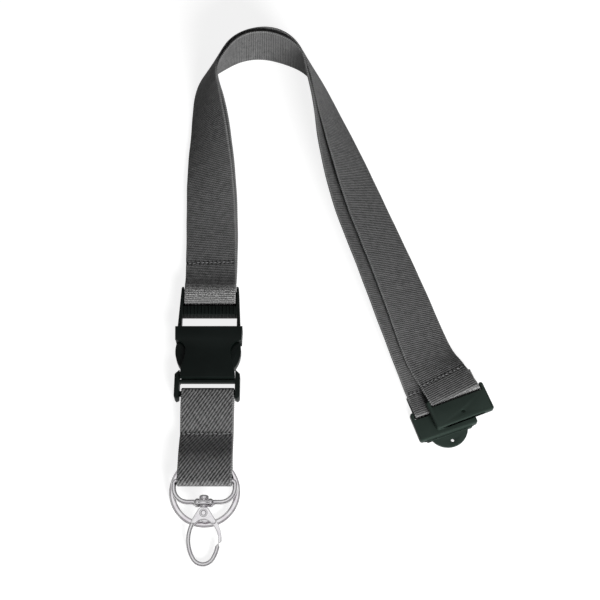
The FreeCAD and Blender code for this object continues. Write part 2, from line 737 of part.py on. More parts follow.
# ---- breakaway clasp -------------------------------------------------------------------
def clasp_plate():
    """The plate that both halves share, drawn about its own centre, with slot and bar."""
    half, top = clasp_width / 2, clasp_bar_v + 1.1
    z = clasp_thickness / 2
    corners = [(-half, clasp_face_bottom), (half, clasp_face_bottom), (half, top), (-half, top)]
    plate = prism(outline(corners), -z, z)
    plate = plate.makeFillet(clasp_corner, edges_along(plate, Z_AXIS))
    plate = plate.makeChamfer(0.5, rim_edges(plate, z) + rim_edges(plate, -z))
    plate = plate.cut(block((-strap_gap_half, strap_gap_half), (clasp_face_top, top + 1), (-9, 9)))
    return plate.fuse(rod(Vec(0, clasp_bar_v, 0), X_AXIS, clasp_bar_diameter, clasp_width - 1))


def tab_prism(grow, z_low, z_high):
    """The rounded tab below the plate's edge, or the space for it when grown."""
    half = tab_base_width / 2 + grow
    y = clasp_face_bottom
    edges = [line((-half, y + 1), (half, y + 1)), line((half, y + 1), (half, y)),
             arc((half, y), (0, y - tab_reach - grow), (-half, y)), line((-half, y), (-half, y + 1))]
    return prism(edges, z_low, z_high)


def seat(shape, place):
    """Set one half of the clasp in its place on the table."""
    turn = FreeCAD.Rotation(Z_AXIS, place["turn"])
    moved = shape.copy()
    moved.Placement = FreeCAD.Placement(place["centre"], turn)
    return moved


def breakaway_tongue():
    """The half with the rounded tab and a stepped lip along its edge."""
    z = tab_thickness / 2
    low = -clasp_thickness / 2
    lip_half = clasp_width / 2 - 3.2
    lip = block((-lip_half, lip_half), (clasp_face_bottom - 0.9, clasp_face_bottom + 1),
                (low + 0.4, low + 2.6))
    tab = tab_prism(0, low + 0.9, low + 0.9 + 2 * z)
    hole = rod(Vec(0, clasp_face_bottom - tab_hole_reach, 0), Z_AXIS, tab_hole_diameter, 20)
    return seat(clasp_plate().fuse([lip, tab]).cut(hole).removeSplitter(), tongue_place)


def breakaway_socket():
    """The half with the pocket that takes the tab, and a hole over the tab's own hole."""
    half = tab_thickness / 2 + tab_clearance
    pocket = tab_prism(tab_clearance, -half, half).rotate(Vec(0, clasp_face_bottom, 0), Z_AXIS, 180)
    hole = Part.makeCylinder(tab_hole_diameter / 2, 9, Vec(0, clasp_face_bottom + tab_hole_reach, 0))
    return seat(clasp_plate().cut(pocket).cut(hole).removeSplitter(), socket_place)


# ---- write every sub-part --------------------------------------------------------------
def short_strap_stitching():
    """The seam across the short strap's middle."""
    upper_layer = seam_z + seam_gap_half + webbing_thickness / 2
    return stitches((Vec(lower_axis_x, seam_y, upper_layer), Y_AXIS, X_AXIS, Z_AXIS, 0))


PARTS = {
    "neck_strap_front": lambda: webbing(front_route),
    "neck_strap_back": lambda: webbing(back_route),
    "neck_stitching": lambda: stitches(section_near(front_route, neck_seam_at)),
    "socket_end_stitching": lambda: stitches(section_near(front_route, socket_seam_at)),
    "tongue_end_stitching": lambda: stitches(section_near(back_route, tongue_seam_at)),
    "buckle_housing": buckle_housing,
    "buckle_plug": buckle_plug,
    "plug_arm_right": plug_arm,
    "plug_arm_left": lambda: mirrored(plug_arm()),
    "short_strap": short_strap,
    "short_strap_stitching": short_strap_stitching,
    "split_ring": split_ring,
    "swivel_bail": swivel_bail,
    "swivel_post": swivel_post,
    "hook_body": hook_body,
    "hook_gate": hook_gate,
    "gate_rivet": gate_rivet,
    "gate_spring": gate_spring,
    "breakaway_tongue": breakaway_tongue,
    "breakaway_socket": breakaway_socket,
}


def main():
    os.makedirs("parts", exist_ok=True)
    for name, route in (("front", front_route), ("back", back_route)):
        length = route_length(route)
        ideal = length * webbing_width * webbing_thickness
        print(f"{name} strap: length {length:.1f}, volume {webbing(route).Volume:.0f} against {ideal:.0f}")
        print("  radii:", " ".join(f"{radius:.1f}" for radius in route_samples(route)[1]))
    print(f"rest slope {math.degrees(rest_slope):.2f} degrees, bail bar y {bail_y:.2f}, ring y {ring_y:.2f}, "
          f"ring height {ring_height:.3f}")
    for name, make in PARTS.items():
        shape = make()
        solids = len(shape.Solids)
        print(f"{name}: solids {solids}, valid {shape.isValid()}, volume {shape.Volume:.1f}")
        shape.exportStep(f"parts/{name}.step")


if __name__ == "__main__":
    main()
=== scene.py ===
import logging
import math
from dataclasses import dataclass, field
from enum import Enum
from typing import Any, Optional, Sequence

import bmesh
import bpy
from mathutils import Matrix, Vector


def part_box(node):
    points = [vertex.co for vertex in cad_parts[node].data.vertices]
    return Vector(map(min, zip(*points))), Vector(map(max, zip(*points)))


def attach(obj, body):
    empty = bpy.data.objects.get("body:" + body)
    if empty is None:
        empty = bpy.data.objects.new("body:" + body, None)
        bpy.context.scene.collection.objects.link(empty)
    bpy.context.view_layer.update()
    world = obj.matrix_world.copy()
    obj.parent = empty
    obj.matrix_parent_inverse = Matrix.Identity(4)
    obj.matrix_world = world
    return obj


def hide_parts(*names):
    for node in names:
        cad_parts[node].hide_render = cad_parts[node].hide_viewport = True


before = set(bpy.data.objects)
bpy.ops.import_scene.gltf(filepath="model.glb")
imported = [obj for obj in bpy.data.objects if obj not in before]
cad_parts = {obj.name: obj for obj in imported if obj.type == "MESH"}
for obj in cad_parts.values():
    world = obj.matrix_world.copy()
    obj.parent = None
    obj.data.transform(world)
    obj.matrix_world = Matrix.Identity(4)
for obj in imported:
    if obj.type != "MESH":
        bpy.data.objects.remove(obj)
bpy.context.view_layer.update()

# A grey neck lanyard lying on a table: webbing, a side-release buckle, a split ring with
# a swivel snap hook, and a flat breakaway clasp.  All lengths are in metres unless a name
# ends in _mm.

log = logging.getLogger("lanyard")
MM = 0.001
Triple = tuple[float, float, float]


class Slot(Enum):
    """The names of the material slots, one for each kind of finish."""

    WEBBING = "webbing"
    THREAD = "thread"
    BUCKLE = "buckle_plastic"
    CLASP = "clasp_plastic"
    STEEL = "steel_ring"
    NICKEL = "nickel"
    SPRING = "spring_steel"


# ---- node trees ----------------------------------------------------------------------
class Value:
    """A node's output socket; arithmetic on it adds Math nodes."""

    def __init__(self, sheet: "NodeSheet", socket: bpy.types.NodeSocket) -> None:
        """Wrap one socket of a sheet."""
        self.sheet = sheet
        self.socket = socket

    def math(self, operation: str, *operands: Any) -> "Value":
        """Apply a Math operation.

        Args:
            operation: the Math node's operation.
            operands: the numbers or values after this one.

        Returns:
            The result as a value.
        """
        return self.sheet.add("ShaderNodeMath", {"operation": operation}, dict(enumerate((self, *operands))))

    def _after(self, operation: str, other: Any) -> "Value":
        """Apply an operation with this value as the second operand."""
        return self.sheet.add("ShaderNodeMath", {"operation": operation}, {0: other, 1: self})

    def __add__(self, other: Any) -> "Value":
        """Sum."""
        return self.math("ADD", other)

    __radd__ = __add__

    def __mul__(self, other: Any) -> "Value":
        """Product."""
        return self.math("MULTIPLY", other)

    __rmul__ = __mul__

    def __sub__(self, other: Any) -> "Value":
        """Difference."""
        return self.math("SUBTRACT", other)

    def __rsub__(self, other: Any) -> "Value":
        """Difference from a number."""
        return self._after("SUBTRACT", other)

    def __abs__(self) -> "Value":
        """Size without its sign."""
        return self.math("ABSOLUTE")

    def wave(self) -> "Value":
        """Sine, brought to the range from 0 to 1."""
        return self.math("SINE") * 0.5 + 0.5

    def ramp(self, low: float, high: float) -> "Value":
        """Rise smoothly from 0 at low to 1 at high."""
        settings = {"interpolation_type": "SMOOTHSTEP"}
        return self.sheet.add("ShaderNodeMapRange", settings, {0: self, 1: low, 2: high, 3: 0.0, 4: 1.0})


class NodeSheet:
    """A node tree together with the one method that adds nodes to it."""

    def __init__(self, tree: bpy.types.NodeTree) -> None:
        """Start from an empty tree."""
        self.tree = tree
        self.tree.nodes.clear()

    def add(self, kind: str, settings: Optional[dict] = None, values: Optional[dict] = None,
            output: Any = 0) -> Value:
        """Add a node.

        Args:
            kind: the node's type.
            settings: properties that are set first; "stops" holds a ramp's stops.
            values: numbers, colours or values for its inputs, by name or index.
            output: name or index of the output that is wanted.

        Returns:
            That output as a value.
        """
        node = self.tree.nodes.new(kind)
        for name, setting in (settings or {}).items():
            if name == "stops":
                self._set_stops(node, setting)
            else:
                setattr(node, name, setting)
        for key, value in (values or {}).items():
            socket = node.inputs[key]
            if isinstance(value, Value):
                self.tree.links.new(value.socket, socket)
            elif socket.type == "RGBA" and len(value) == 3:
                socket.default_value = (*value, 1.0)
            else:
                socket.default_value = value
        return Value(self, node.outputs[output]) if node.outputs else Value(self, node.inputs[0])

    @staticmethod
    def _set_stops(node: bpy.types.Node, stops: Sequence[tuple[float, Triple]]) -> None:
        """Give a colour ramp its stops."""
        elements = node.color_ramp.elements
        while len(elements) < len(stops):
            elements.new(0.5)
        for element, (place, colour) in zip(elements, stops):
            element.position = place
            element.color = (*colour, 1.0)

    def blend(self, share: Any, first: Any, second: Any) -> Value:
        """Mix two colours by a share from 0 to 1."""
        return self.add("ShaderNodeMix", {"data_type": "RGBA"}, {0: share, 6: first, 7: second}, 2)

    def split(self, vector: Value) -> tuple[Value, Value, Value]:
        """Take a vector's three parts."""
        node = self.add("ShaderNodeSeparateXYZ", {}, {0: vector}).socket.node
        return tuple(Value(self, output) for output in node.outputs)

    def noise(self, vector: Value, scale: float, detail: float = 2.0) -> Value:
        """Smooth noise on a vector, about 0.5."""
        return self.add("ShaderNodeTexNoise", {}, {"Vector": vector, "Scale": scale, "Detail": detail})


class MaterialSheet(NodeSheet):
    """The node tree of one material."""

    def __init__(self, name: str) -> None:
        """Make the material with an empty tree."""
        self.material = bpy.data.materials.new(name)
        self.material.use_nodes = True
        super().__init__(self.material.node_tree)

    def place(self) -> Value:
        """Object coordinates in metres."""
        return self.add("ShaderNodeTexCoord", output="Object")

    def bump(self, height: Value, depth: float) -> Value:
        """Turn a height into a normal."""
        return self.add("ShaderNodeBump", {}, {"Height": height, "Distance": depth, "Strength": 1.0})

    def surface(self, values: dict) -> bpy.types.Material:
        """Close the tree with one Principled shader.

        Args:
            values: its inputs by name.

        Returns:
            The finished material.
        """
        shader = self.add("ShaderNodeBsdfPrincipled", {}, values)
        self.add("ShaderNodeOutputMaterial", {}, {"Surface": shader})
        return self.material


@dataclass(frozen=True)
class WebbingFinish:
    """Woven polyester webbing, patterned on UVs in millimetres, with painted seam shade and fold highlight.
    """

    name: str
    shade: Triple = (0.02, 0.02, 0.02)
    light: Triple = (0.165, 0.165, 0.165)
    # Colour of the painted highlight where the strap curves over its folds.
    fold_highlight: Triple = (0.5, 0.5, 0.495)
    rib_pitch_mm: float = 1.0
    rib_slant: float = 0.02
    yarn_pitch_mm: float = 0.9
    contrast: float = 0.7
    relief: float = 0.00022
    selvedge_mm: float = 11.9
    picot_pitch_mm: float = 1.15
    hole_pitch_mm: float = 2.09
    cloud_scale: float = 0.35
    drift_scale: float = 1.1
    drift: float = 2.4
    fluff_scale: float = 2.6
    glint_scale: float = 1.3

    def make(self) -> bpy.types.Material:
        """Build the material."""
        sheet = MaterialSheet(self.name)
        uv = sheet.add("ShaderNodeUVMap", {"uv_map": "weave"})
        across, along, _ = sheet.split(uv)
        cloud = sheet.noise(uv, self.cloud_scale, 3.0)
        drift = (sheet.noise(uv, self.drift_scale, 1.0) - 0.5) * self.drift
        phase = (along - across * self.rib_slant) * (math.tau / self.rib_pitch_mm) + drift
        rib = phase.wave()
        yarn = (across * (math.tau / self.yarn_pitch_mm) + phase * 0.5).wave()
        weave = rib * 0.72 + yarn * 0.28
        edge = abs(across).ramp(self.selvedge_mm - 0.25, self.selvedge_mm + 0.15)
        picot = (along * (math.tau / self.picot_pitch_mm)).wave()
        height = weave * (1 - edge) + (picot * 0.8 + 0.2) * edge
        fluff = sheet.noise(uv, self.fluff_scale, 2.0)
        # Point weights from the mesh: one for the painted seam shade, one for the painted fold highlight.
        seam_shade = sheet.add("ShaderNodeAttribute", {"attribute_name": "seam_shade"}, output="Fac")
        wear_and_fold_sheen = sheet.add("ShaderNodeAttribute", {"attribute_name": "wear_and_fold_sheen"}, output="Fac")
        glint = sheet.noise(uv, self.glint_scale, 2.0).ramp(0.42, 0.68)
        hole_shade = (across * (math.tau / self.hole_pitch_mm)).wave().ramp(0.55, 0.9)
        lit = (height - 0.5) * self.contrast + (cloud - 0.5) * 0.6 + (fluff - 0.5) * 1.1 + 0.5
        # Painted shade: dark needle holes and a darker line along each seam.
        lit = lit + edge * 0.3 - seam_shade * (hole_shade * 1.1 + 0.2)
        colour = sheet.blend(lit, self.shade, self.light)
        # Painted highlight: a pale speckled band where the strap curves over a fold.
        colour = sheet.blend(wear_and_fold_sheen * (glint * 0.75 + 0.25), colour, self.fold_highlight)
        normal = sheet.bump(height + (fluff - 0.5) * 0.5, self.relief)
        rough = 0.78 + (fluff - 0.5) * 0.2 - wear_and_fold_sheen * 0.15
        return sheet.surface({"Base Color": colour, "Roughness": rough, "Normal": normal,
                              "Sheen Weight": 0.1, "Sheen Roughness": 0.45, "Specular IOR Level": 0.12})


@dataclass(frozen=True)
class ThreadFinish:
    """Twisted polyester sewing thread."""

    name: str = "sewing_thread"
    shade: Triple = (0.08, 0.08, 0.08)
    light: Triple = (0.45, 0.45, 0.46)
    twist: float = 9000.0

    def make(self) -> bpy.types.Material:
        """Build the material."""
        sheet = MaterialSheet(self.name)
        x, y, z = sheet.split(sheet.place())
        strand = ((x + y * 0.6 + z) * self.twist).wave()
        patch = sheet.noise(sheet.place(), 420.0, 2.0)
        colour = sheet.blend(strand * 0.5 + (patch - 0.3) * 0.9, self.shade, self.light)
        return sheet.surface({"Base Color": colour, "Roughness": 0.55 + patch * 0.2,
                              "Normal": sheet.bump(strand, 0.00005), "Sheen Weight": 0.2})


@dataclass(frozen=True)
class PlasticFinish:
    """Moulded acetal with a fine spark-eroded grain."""

    name: str
    colour: Triple = (0.0022, 0.0036, 0.0031)
    wear_and_fold_sheen: Triple = (0.0065, 0.0095, 0.0085)
    roughness: float = 0.34
    grain: float = 3400.0
    grain_depth: float = 0.000012
    gloss: float = 0.12

    def make(self) -> bpy.types.Material:
        """Build the material."""
        sheet = MaterialSheet(self.name)
        place = sheet.place()
        grain = sheet.noise(place, self.grain, 2.0)
        flow = sheet.noise(place, 90.0, 2.0)
        colour = sheet.blend((flow * 0.7 + grain * 0.5 - 0.25), self.colour, self.wear_and_fold_sheen)
        rough = self.roughness + (flow - 0.5) * 0.14 + (grain - 0.5) * 0.12
        normal = sheet.bump(grain, self.grain_depth)
        return sheet.surface({"Base Color": colour, "Roughness": rough, "Normal": normal,
                              "Specular IOR Level": self.gloss, "IOR": 1.48})


@dataclass(frozen=True)
class MetalFinish:
    """Bright plated or polished steel, faintly warm and violet in patches."""

    name: str
    bright: Triple = (0.86, 0.85, 0.855)
    tint: Triple = (0.76, 0.735, 0.765)
    roughness: float = 0.13
    polish: float = 1400.0

    def make(self) -> bpy.types.Material:
        """Build the material."""
        sheet = MaterialSheet(self.name)
        place = sheet.place()
        patch = sheet.noise(place, 260.0, 2.0)
        fine = sheet.noise(place, self.polish, 3.0)
        colour = sheet.blend(patch.ramp(0.35, 0.7), self.bright, self.tint)
        rough = self.roughness + (fine - 0.5) * 0.12 + (patch - 0.5) * 0.08
        return sheet.surface({"Base Color": colour, "Metallic": 1.0, "Roughness": rough,
                              "Normal": sheet.bump(fine, 0.000006)})


class Finishes:
    """Every material of the lanyard, made once."""

    def __init__(self) -> None:
        """Make them all."""
        self.neck = WebbingFinish("neck_webbing").make()
        self.short = WebbingFinish("short_webbing", rib_pitch_mm=2.3, rib_slant=1.45, contrast=0.78,
                                   yarn_pitch_mm=1.5, light=(0.19, 0.19, 0.19), relief=0.0003).make()
        self.thread = ThreadFinish().make()
        self.buckle = PlasticFinish("buckle_acetal").make()
        self.button = PlasticFinish("button_acetal", roughness=0.27, grain_depth=0.000006).make()
        self.clasp = PlasticFinish("clasp_acetal", colour=(0.015, 0.023, 0.019), wear_and_fold_sheen=(0.03, 0.041, 0.035),
                                   roughness=0.42).make()
        self.nickel = MetalFinish("nickel_plate").make()
        self.steel = MetalFinish("polished_steel", tint=(0.78, 0.74, 0.77), roughness=0.1).make()
        self.spring = MetalFinish("spring_steel", bright=(0.5, 0.5, 0.52), roughness=0.28).make()


# ---- geometry node plans ---------------------------------------------------------------
class GeometryPlan(NodeSheet):
    """A Geometry Nodes tree with named sizes that ends in one plain mesh."""

    def __init__(self, name: str) -> None:
        """Make the tree with its Geometry input and output."""
        super().__init__(bpy.data.node_groups.new(name, "GeometryNodeTree"))
        for side in ("INPUT", "OUTPUT"):
            self.tree.interface.new_socket("Geometry", in_out=side, socket_type="NodeSocketGeometry")
        self.entry = self.tree.nodes.new("NodeGroupInput")
        self.sizes: dict[str, tuple[str, Any]] = {}

    def base(self) -> Value:
        """The geometry that the plan starts from."""
        return Value(self, self.entry.outputs["Geometry"])

    def size(self, name: str, value: Any) -> Value:
        """Add a named number to the plan's inputs."""
        kind = "NodeSocketInt" if isinstance(value, int) else "NodeSocketFloat"
        socket = self.tree.interface.new_socket(name, in_out="INPUT", socket_type=kind)
        self.sizes[name] = (socket.identifier, value)
        return Value(self, self.entry.outputs[name])

    def vector(self, x: Any = 0.0, y: Any = 0.0, z: Any = 0.0) -> Value:
        """Join three numbers."""
        return self.add("ShaderNodeCombineXYZ", {}, {0: x, 1: y, 2: z})

    def make(self, geometry: Value, material: bpy.types.Material,
             start: Optional[bpy.types.Mesh] = None) -> bpy.types.Mesh:
        """Close the plan and run it once.

        Args:
            geometry: what the plan has made.
            material: the finish of every face.
            start: the mesh that the plan works on, if any.

        Returns:
            The plain mesh.
        """
        real = self.add("GeometryNodeRealizeInstances", {}, {0: geometry})
        dressed = self.add("GeometryNodeSetMaterial", {}, {"Geometry": real, "Material": material})
        self.add("NodeGroupOutput", {}, {"Geometry": dressed})
        holder = bpy.data.objects.new("plan", start or bpy.data.meshes.new("plan"))
        modifier = holder.modifiers.new("plan", "NODES")
        modifier.node_group = self.tree
        for identifier, value in self.sizes.values():
            modifier[identifier] = value
        bpy.context.scene.collection.objects.link(holder)
        mesh = evaluated_mesh(holder)
        bpy.data.objects.remove(holder)
        return mesh


# ---- mesh helpers ----------------------------------------------------------------------
def evaluated_mesh(holder: bpy.types.Object) -> bpy.types.Mesh:
    """The plain mesh of an object with its modifiers applied."""
    graph = bpy.context.evaluated_depsgraph_get()
    return bpy.data.meshes.new_from_object(holder.evaluated_get(graph), depsgraph=graph)


def add_piece(name: str, mesh: bpy.types.Mesh, material: bpy.types.Material, body: str, slot: Slot,
              replaces: Sequence[str] = ()) -> bpy.types.Object:
    """Put a finished mesh in the scene.

    Args:
        name: the piece's name.
        mesh: its mesh, already in place.
        material: its finish.
        body: the body that carries it.
        slot: not used.
        replaces: the CAD nodes that it stands for.

    Returns:
        The new object.
    """
    mesh.materials.clear()
    mesh.materials.append(material)
    piece = bpy.data.objects.new(name, mesh)
    bpy.context.scene.collection.objects.link(piece)
    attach(piece, body)
    if replaces:
        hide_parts(*replaces)
    log.info("%s: %d faces on %s", name, len(mesh.polygons), body)
    return piece


def set_smooth(mesh: bpy.types.Mesh, crease: float) -> None:
    """Smooth a mesh except along edges sharper than an angle in degrees."""
    shell = bmesh.new()
    shell.from_mesh(mesh)
    for face in shell.faces:
        face.smooth = True
    for edge in shell.edges:
        edge.smooth = len(edge.link_faces) == 2 and edge.calc_face_angle(0.0) < math.radians(crease)
    shell.to_mesh(mesh)
    shell.free()


def softened_copy(node: str, edge: float, crease: float = 32.0, segments: int = 3) -> bpy.types.Mesh:
    """A merged copy of a CAD node with its sharp edges rounded.

    Args:
        node: the CAD node.
        edge: width of the rounding.
        crease: the angle in degrees above which an edge is sharp.
        segments: faces across the rounding.

    Returns:
        The new mesh.
    """
    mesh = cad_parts[node].data.copy()
    shell = bmesh.new()
    shell.from_mesh(mesh)
    bmesh.ops.remove_doubles(shell, verts=shell.verts, dist=2e-6)
    bmesh.ops.dissolve_limit(shell, angle_limit=math.radians(0.6), verts=shell.verts, edges=shell.edges)
    shell.to_mesh(mesh)
    shell.free()
    holder = bpy.data.objects.new("softened", mesh)
    bpy.context.scene.collection.objects.link(holder)
    bevel = holder.modifiers.new("edges", "BEVEL")
    bevel.width = edge
    bevel.segments = segments
    bevel.limit_method = "ANGLE"
    bevel.angle_limit = math.radians(crease)
    bevel.use_clamp_overlap = False
    bevel.miter_outer = "MITER_ARC"
    result = evaluated_mesh(holder)
    bpy.data.objects.remove(holder)
    set_smooth(result, 40.0)
    return result


def follow_spline(controls: Sequence[Sequence[float]], steps: int = 40, closed: bool = False) -> list[Vector]:
    """Points along the smooth spline of a few control points.

    Args:
        controls: the control points.
        steps: points for each control point.
        closed: whether the spline joins its own start.

    Returns:
        The points in order.
    """
    curve = bpy.data.curves.new("spline", "CURVE")
    curve.dimensions = "3D"
    curve.resolution_u = steps
    spline = curve.splines.new("NURBS")
    spline.points.add(len(controls) - 1)
    for point, place in zip(spline.points, controls):
        point.co = (*place, 1.0)
    spline.use_cyclic_u = closed
    spline.order_u = 3
    spline.use_endpoint_u = not closed
    holder = bpy.data.objects.new("spline", curve)
    bpy.context.scene.collection.objects.link(holder)
    mesh = evaluated_mesh(holder)
    points = [vertex.co.copy() for vertex in mesh.vertices]
    bpy.data.objects.remove(holder)
    bpy.data.meshes.remove(mesh)
    return points


def sweep(path: Sequence[Vector], radii: Sequence[float], sides: int = 28, closed: bool = False,
          up: Vector = Vector((0.0, 0.0, 1.0))) -> bpy.types.Mesh:
    """A round wire along a flat path, with a radius at every point.

    Args:
        path: the points that it follows.
        radii: its radius at each of them.
        sides: faces round the wire.
        closed: whether the path joins its own start.
        up: the normal of the path's plane.

    Returns:
        The closed mesh.
    """
    shell = bmesh.new()
    rings = []
    count = len(path)
    for i, (point, radius) in enumerate(zip(path, radii)):
        before = path[i - 1] if closed or i else path[0]
        after = path[(i + 1) % count] if closed or i < count - 1 else path[-1]
        side = (after - before).normalized().cross(up).normalized()
        rings.append([shell.verts.new(point + radius * (side * math.cos(a) + up * math.sin(a)))
                      for a in (math.tau * k / sides for k in range(sides))])
    pairs = list(zip(rings, rings[1:])) + ([(rings[-1], rings[0])] if closed else [])
    for first, second in pairs:
        for k in range(sides):
            n = (k + 1) % sides
            shell.faces.new((first[k], first[n], second[n], second[k]))
    if not closed:
        shell.faces.new(rings[0])
        shell.faces.new(rings[-1])
    bmesh.ops.recalc_face_normals(shell, faces=shell.faces)
    mesh = bpy.data.meshes.new("wire")
    shell.to_mesh(mesh)
    shell.free()
    return mesh


def turned(profile: Sequence[tuple[float, float]], axis: Vector, side: Vector,
           steps: int = 48) -> bpy.types.Mesh:
    """A solid turned from (distance along the axis, radius) points.

    Args:
        profile: the points from one end on the axis to the other.
        axis: the axis of turning.
        side: a direction square to it.
        steps: faces round the axis.

    Returns:
        The closed mesh.
    """
    other = axis.cross(side)
    shell = bmesh.new()
    rings = []
    for along, radius in profile:
        rings.append([shell.verts.new(axis * along + radius * (side * math.cos(a) + other * math.sin(a)))
                      for a in (math.tau * k / steps for k in range(steps))])
    for first, second in zip(rings, rings[1:]):
        for k in range(steps):
            n = (k + 1) % steps
            shell.faces.new((first[k], first[n], second[n], second[k]))
    shell.faces.new(rings[0])
    shell.faces.new(rings[-1])
    bmesh.ops.recalc_face_normals(shell, faces=shell.faces)
    mesh = bpy.data.meshes.new("turned")
    shell.to_mesh(mesh)
    shell.free()
    return mesh


def slab(outline: Sequence[tuple[float, float]], low: float, high: float, edge: float) -> bpy.types.Mesh:
    """A flat plate with rounded rims.

    Args:
        outline: its corners.
        low: height of its lower face.
        high: height of its upper face.
        edge: width of the rounding, or 0 for none.

    Returns:
        The closed mesh.
    """
    shell = bmesh.new()
    rings = [[shell.verts.new((x, y, z)) for x, y in outline] for z in (low, high)]
    shell.faces.new(rings[0])
    shell.faces.new(rings[1])
    for k in range(len(outline)):
        n = (k + 1) % len(outline)
        shell.faces.new((rings[0][k], rings[0][n], rings[1][n], rings[1][k]))
    bmesh.ops.recalc_face_normals(shell, faces=shell.faces)
    if edge:
        rims = [e for e in shell.edges if e.verts[0].co.z == e.verts[1].co.z]
        bmesh.ops.bevel(shell, geom=rims, offset=edge, segments=4, profile=0.5, affect="EDGES")
    mesh = bpy.data.meshes.new("slab")
    shell.to_mesh(mesh)
    shell.free()
    set_smooth(mesh, 30.0)
    return mesh


def arc(centre: tuple[float, float], radius: float, start: float, end: float, steps: int) -> list[Vector]:
    """Points of a flat arc from one angle to another."""
    x, y = centre
    return [Vector((x + radius * math.cos(a), y + radius * math.sin(a), 0.0))
            for a in (start + (end - start) * k / steps for k in range(steps + 1))]


def joined(meshes: Sequence[bpy.types.Mesh], place: Matrix) -> bpy.types.Mesh:
    """Several meshes as one, moved to their place."""
    shell = bmesh.new()
    for mesh in meshes:
        shell.from_mesh(mesh)
    result = bpy.data.meshes.new("joined")
    shell.to_mesh(result)
    shell.free()
    result.transform(place)
    return result


# ---- webbing ---------------------------------------------------------------------------
@dataclass
class Station:
    """One section of a strap: where it is, which way it runs and how it lies."""

    point: Vector
    travel: Vector
    across: Vector
    normal: Vector
    distance: float


@dataclass
class Ribbon:
    """Flat woven strap of one width and thickness that follows a line of stations."""

    width: float = 25.0 * MM
    thickness: float = 1.0 * MM
    step: float = 0.6 * MM
    picot: float = 0.09 * MM
    seam_dip: float = 0.22 * MM

    def stations(self, centre: Sequence[Vector], edge: Sequence[Vector],
                 closed: bool = False) -> list[Station]:
        """Evenly spaced stations along a line.

        Args:
            centre: points along the strap's middle.
            edge: the direction of its inner edge at each of them.
            closed: whether the line joins its own start.

        Returns:
            The stations in order.
        """
        line, sides = list(centre), list(edge)
        if closed:
            line.append(line[0])
            sides.append(sides[0])
        reach = [0.0]
        for a, b in zip(line, line[1:]):
            reach.append(reach[-1] + (b - a).length)
        count = max(8, round(reach[-1] / self.step))
        spots, k = [], 0
        for i in range(count if closed else count + 1):
            distance = reach[-1] * i / count
            while k < len(reach) - 2 and reach[k + 1] < distance:
                k += 1
            share = (distance - reach[k]) / max(reach[k + 1] - reach[k], 1e-9)
            spots.append((line[k].lerp(line[k + 1], share), sides[k].lerp(sides[k + 1], share), distance))
        result = []
        last = len(spots) - 1
        for i, (point, side, distance) in enumerate(spots):
            ahead = spots[(i + 1) % len(spots) if closed else min(i + 1, last)][0]
            behind = spots[i - 1 if closed else max(i - 1, 0)][0]
            travel = (ahead - behind).normalized()
            across = (side - travel * side.dot(travel)).normalized()
            result.append(Station(point, travel, across, travel.cross(across), distance))
        return result

    def profile(self) -> list[tuple[float, float]]:
        """Places round one section, as shares of the half width and the half thickness."""
        flat = [-0.985, -0.96, -0.9, -0.7, -0.45, -0.2, 0.0, 0.2, 0.45, 0.7, 0.9, 0.96, 0.985]
        top = [(x, 0.72 if abs(x) > 0.98 else 1.0) for x in flat]
        return top + [(1.0, 0.0)] + [(x, -t) for x, t in reversed(top)] + [(-1.0, 0.0)]

    def mesh(self, stations: Sequence[Station], seams: Sequence[float] = (), closed: bool = False,
             fold_highlight: Sequence[tuple[Vector, float]] = ()) -> bpy.types.Mesh:
        """Skin the stations.

        Args:
            stations: the strap's sections.
            seams: the distances along the strap at which thread pulls it in.
            closed: whether the last station joins the first.
            fold_highlight: the middle and the half length of each patch of painted highlight on a fold.

        Returns:
            The closed mesh, with UVs in millimetres and weights for painted seam shade and fold highlight.
        """
        shell = bmesh.new()
        uv = shell.loops.layers.uv.new("weave")
        # Weights for the painted shade at the seams and the painted highlight on the folds.
        seam_shade_layer = shell.verts.layers.float.new("seam_shade")
        sheen_layer = shell.verts.layers.float.new("wear_and_fold_sheen")
        section = self.profile()
        rings = []
        for i, station in enumerate(stations):
            near = min((abs(station.distance - seam) for seam in seams), default=1.0)
            dip = math.exp(-(near / (0.9 * MM)) ** 2)
            # How much painted highlight the folds give this station.
            highlight_share = max((math.exp(-((station.point - spot).length / half) ** 2) for spot, half in fold_highlight),
                       default=0.0)
            wander = (0.05 * MM * math.sin(station.distance * 310.0)
                      + 0.04 * MM * math.sin(station.distance * 97.0))
            ring = []
            for x, t in section:
                half = self.width / 2 + (self.picot * (i % 2) if abs(x) > 0.97 else 0.0) - 0.15 * MM * dip
                rise = t * (self.thickness / 2 - (self.seam_dip * dip if t > 0 else 0.0))
                ring.append(shell.verts.new(station.point + station.across * (x * half + wander)
                                            + station.normal * rise))
                ring[-1][seam_shade_layer] = dip
                ring[-1][sheen_layer] = highlight_share
            rings.append(ring)
        total = stations[-1].distance + (self.step if closed else 0.0)
        spans = list(range(len(rings) - 1)) + ([len(rings) - 1] if closed else [])
        for i in spans:
            n = (i + 1) % len(rings)
            ends = (stations[i].distance, stations[n].distance if n else total)
            for k in range(len(section)):
                m = (k + 1) % len(section)
                face = shell.faces.new((rings[i][k], rings[i][m], rings[n][m], rings[n][k]))
                face.smooth = True
                for loop, (x, v) in zip(face.loops, ((k, 0), (m, 0), (m, 1), (k, 1))):
                    loop[uv].uv = (section[x][0] * self.width / 2 / MM, ends[v] / MM)
        if not closed:
            for ring, station in ((rings[0], stations[0]), (rings[-1], stations[-1])):
                cap = shell.faces.new(ring)
                for loop, (x, t) in zip(cap.loops, section):
                    loop[uv].uv = (x * self.width / 2 / MM, station.distance / MM + t * 0.3)
        bmesh.ops.recalc_face_normals(shell, faces=shell.faces)
        mesh = bpy.data.meshes.new("ribbon")
        shell.to_mesh(mesh)
        shell.free()
        return mesh


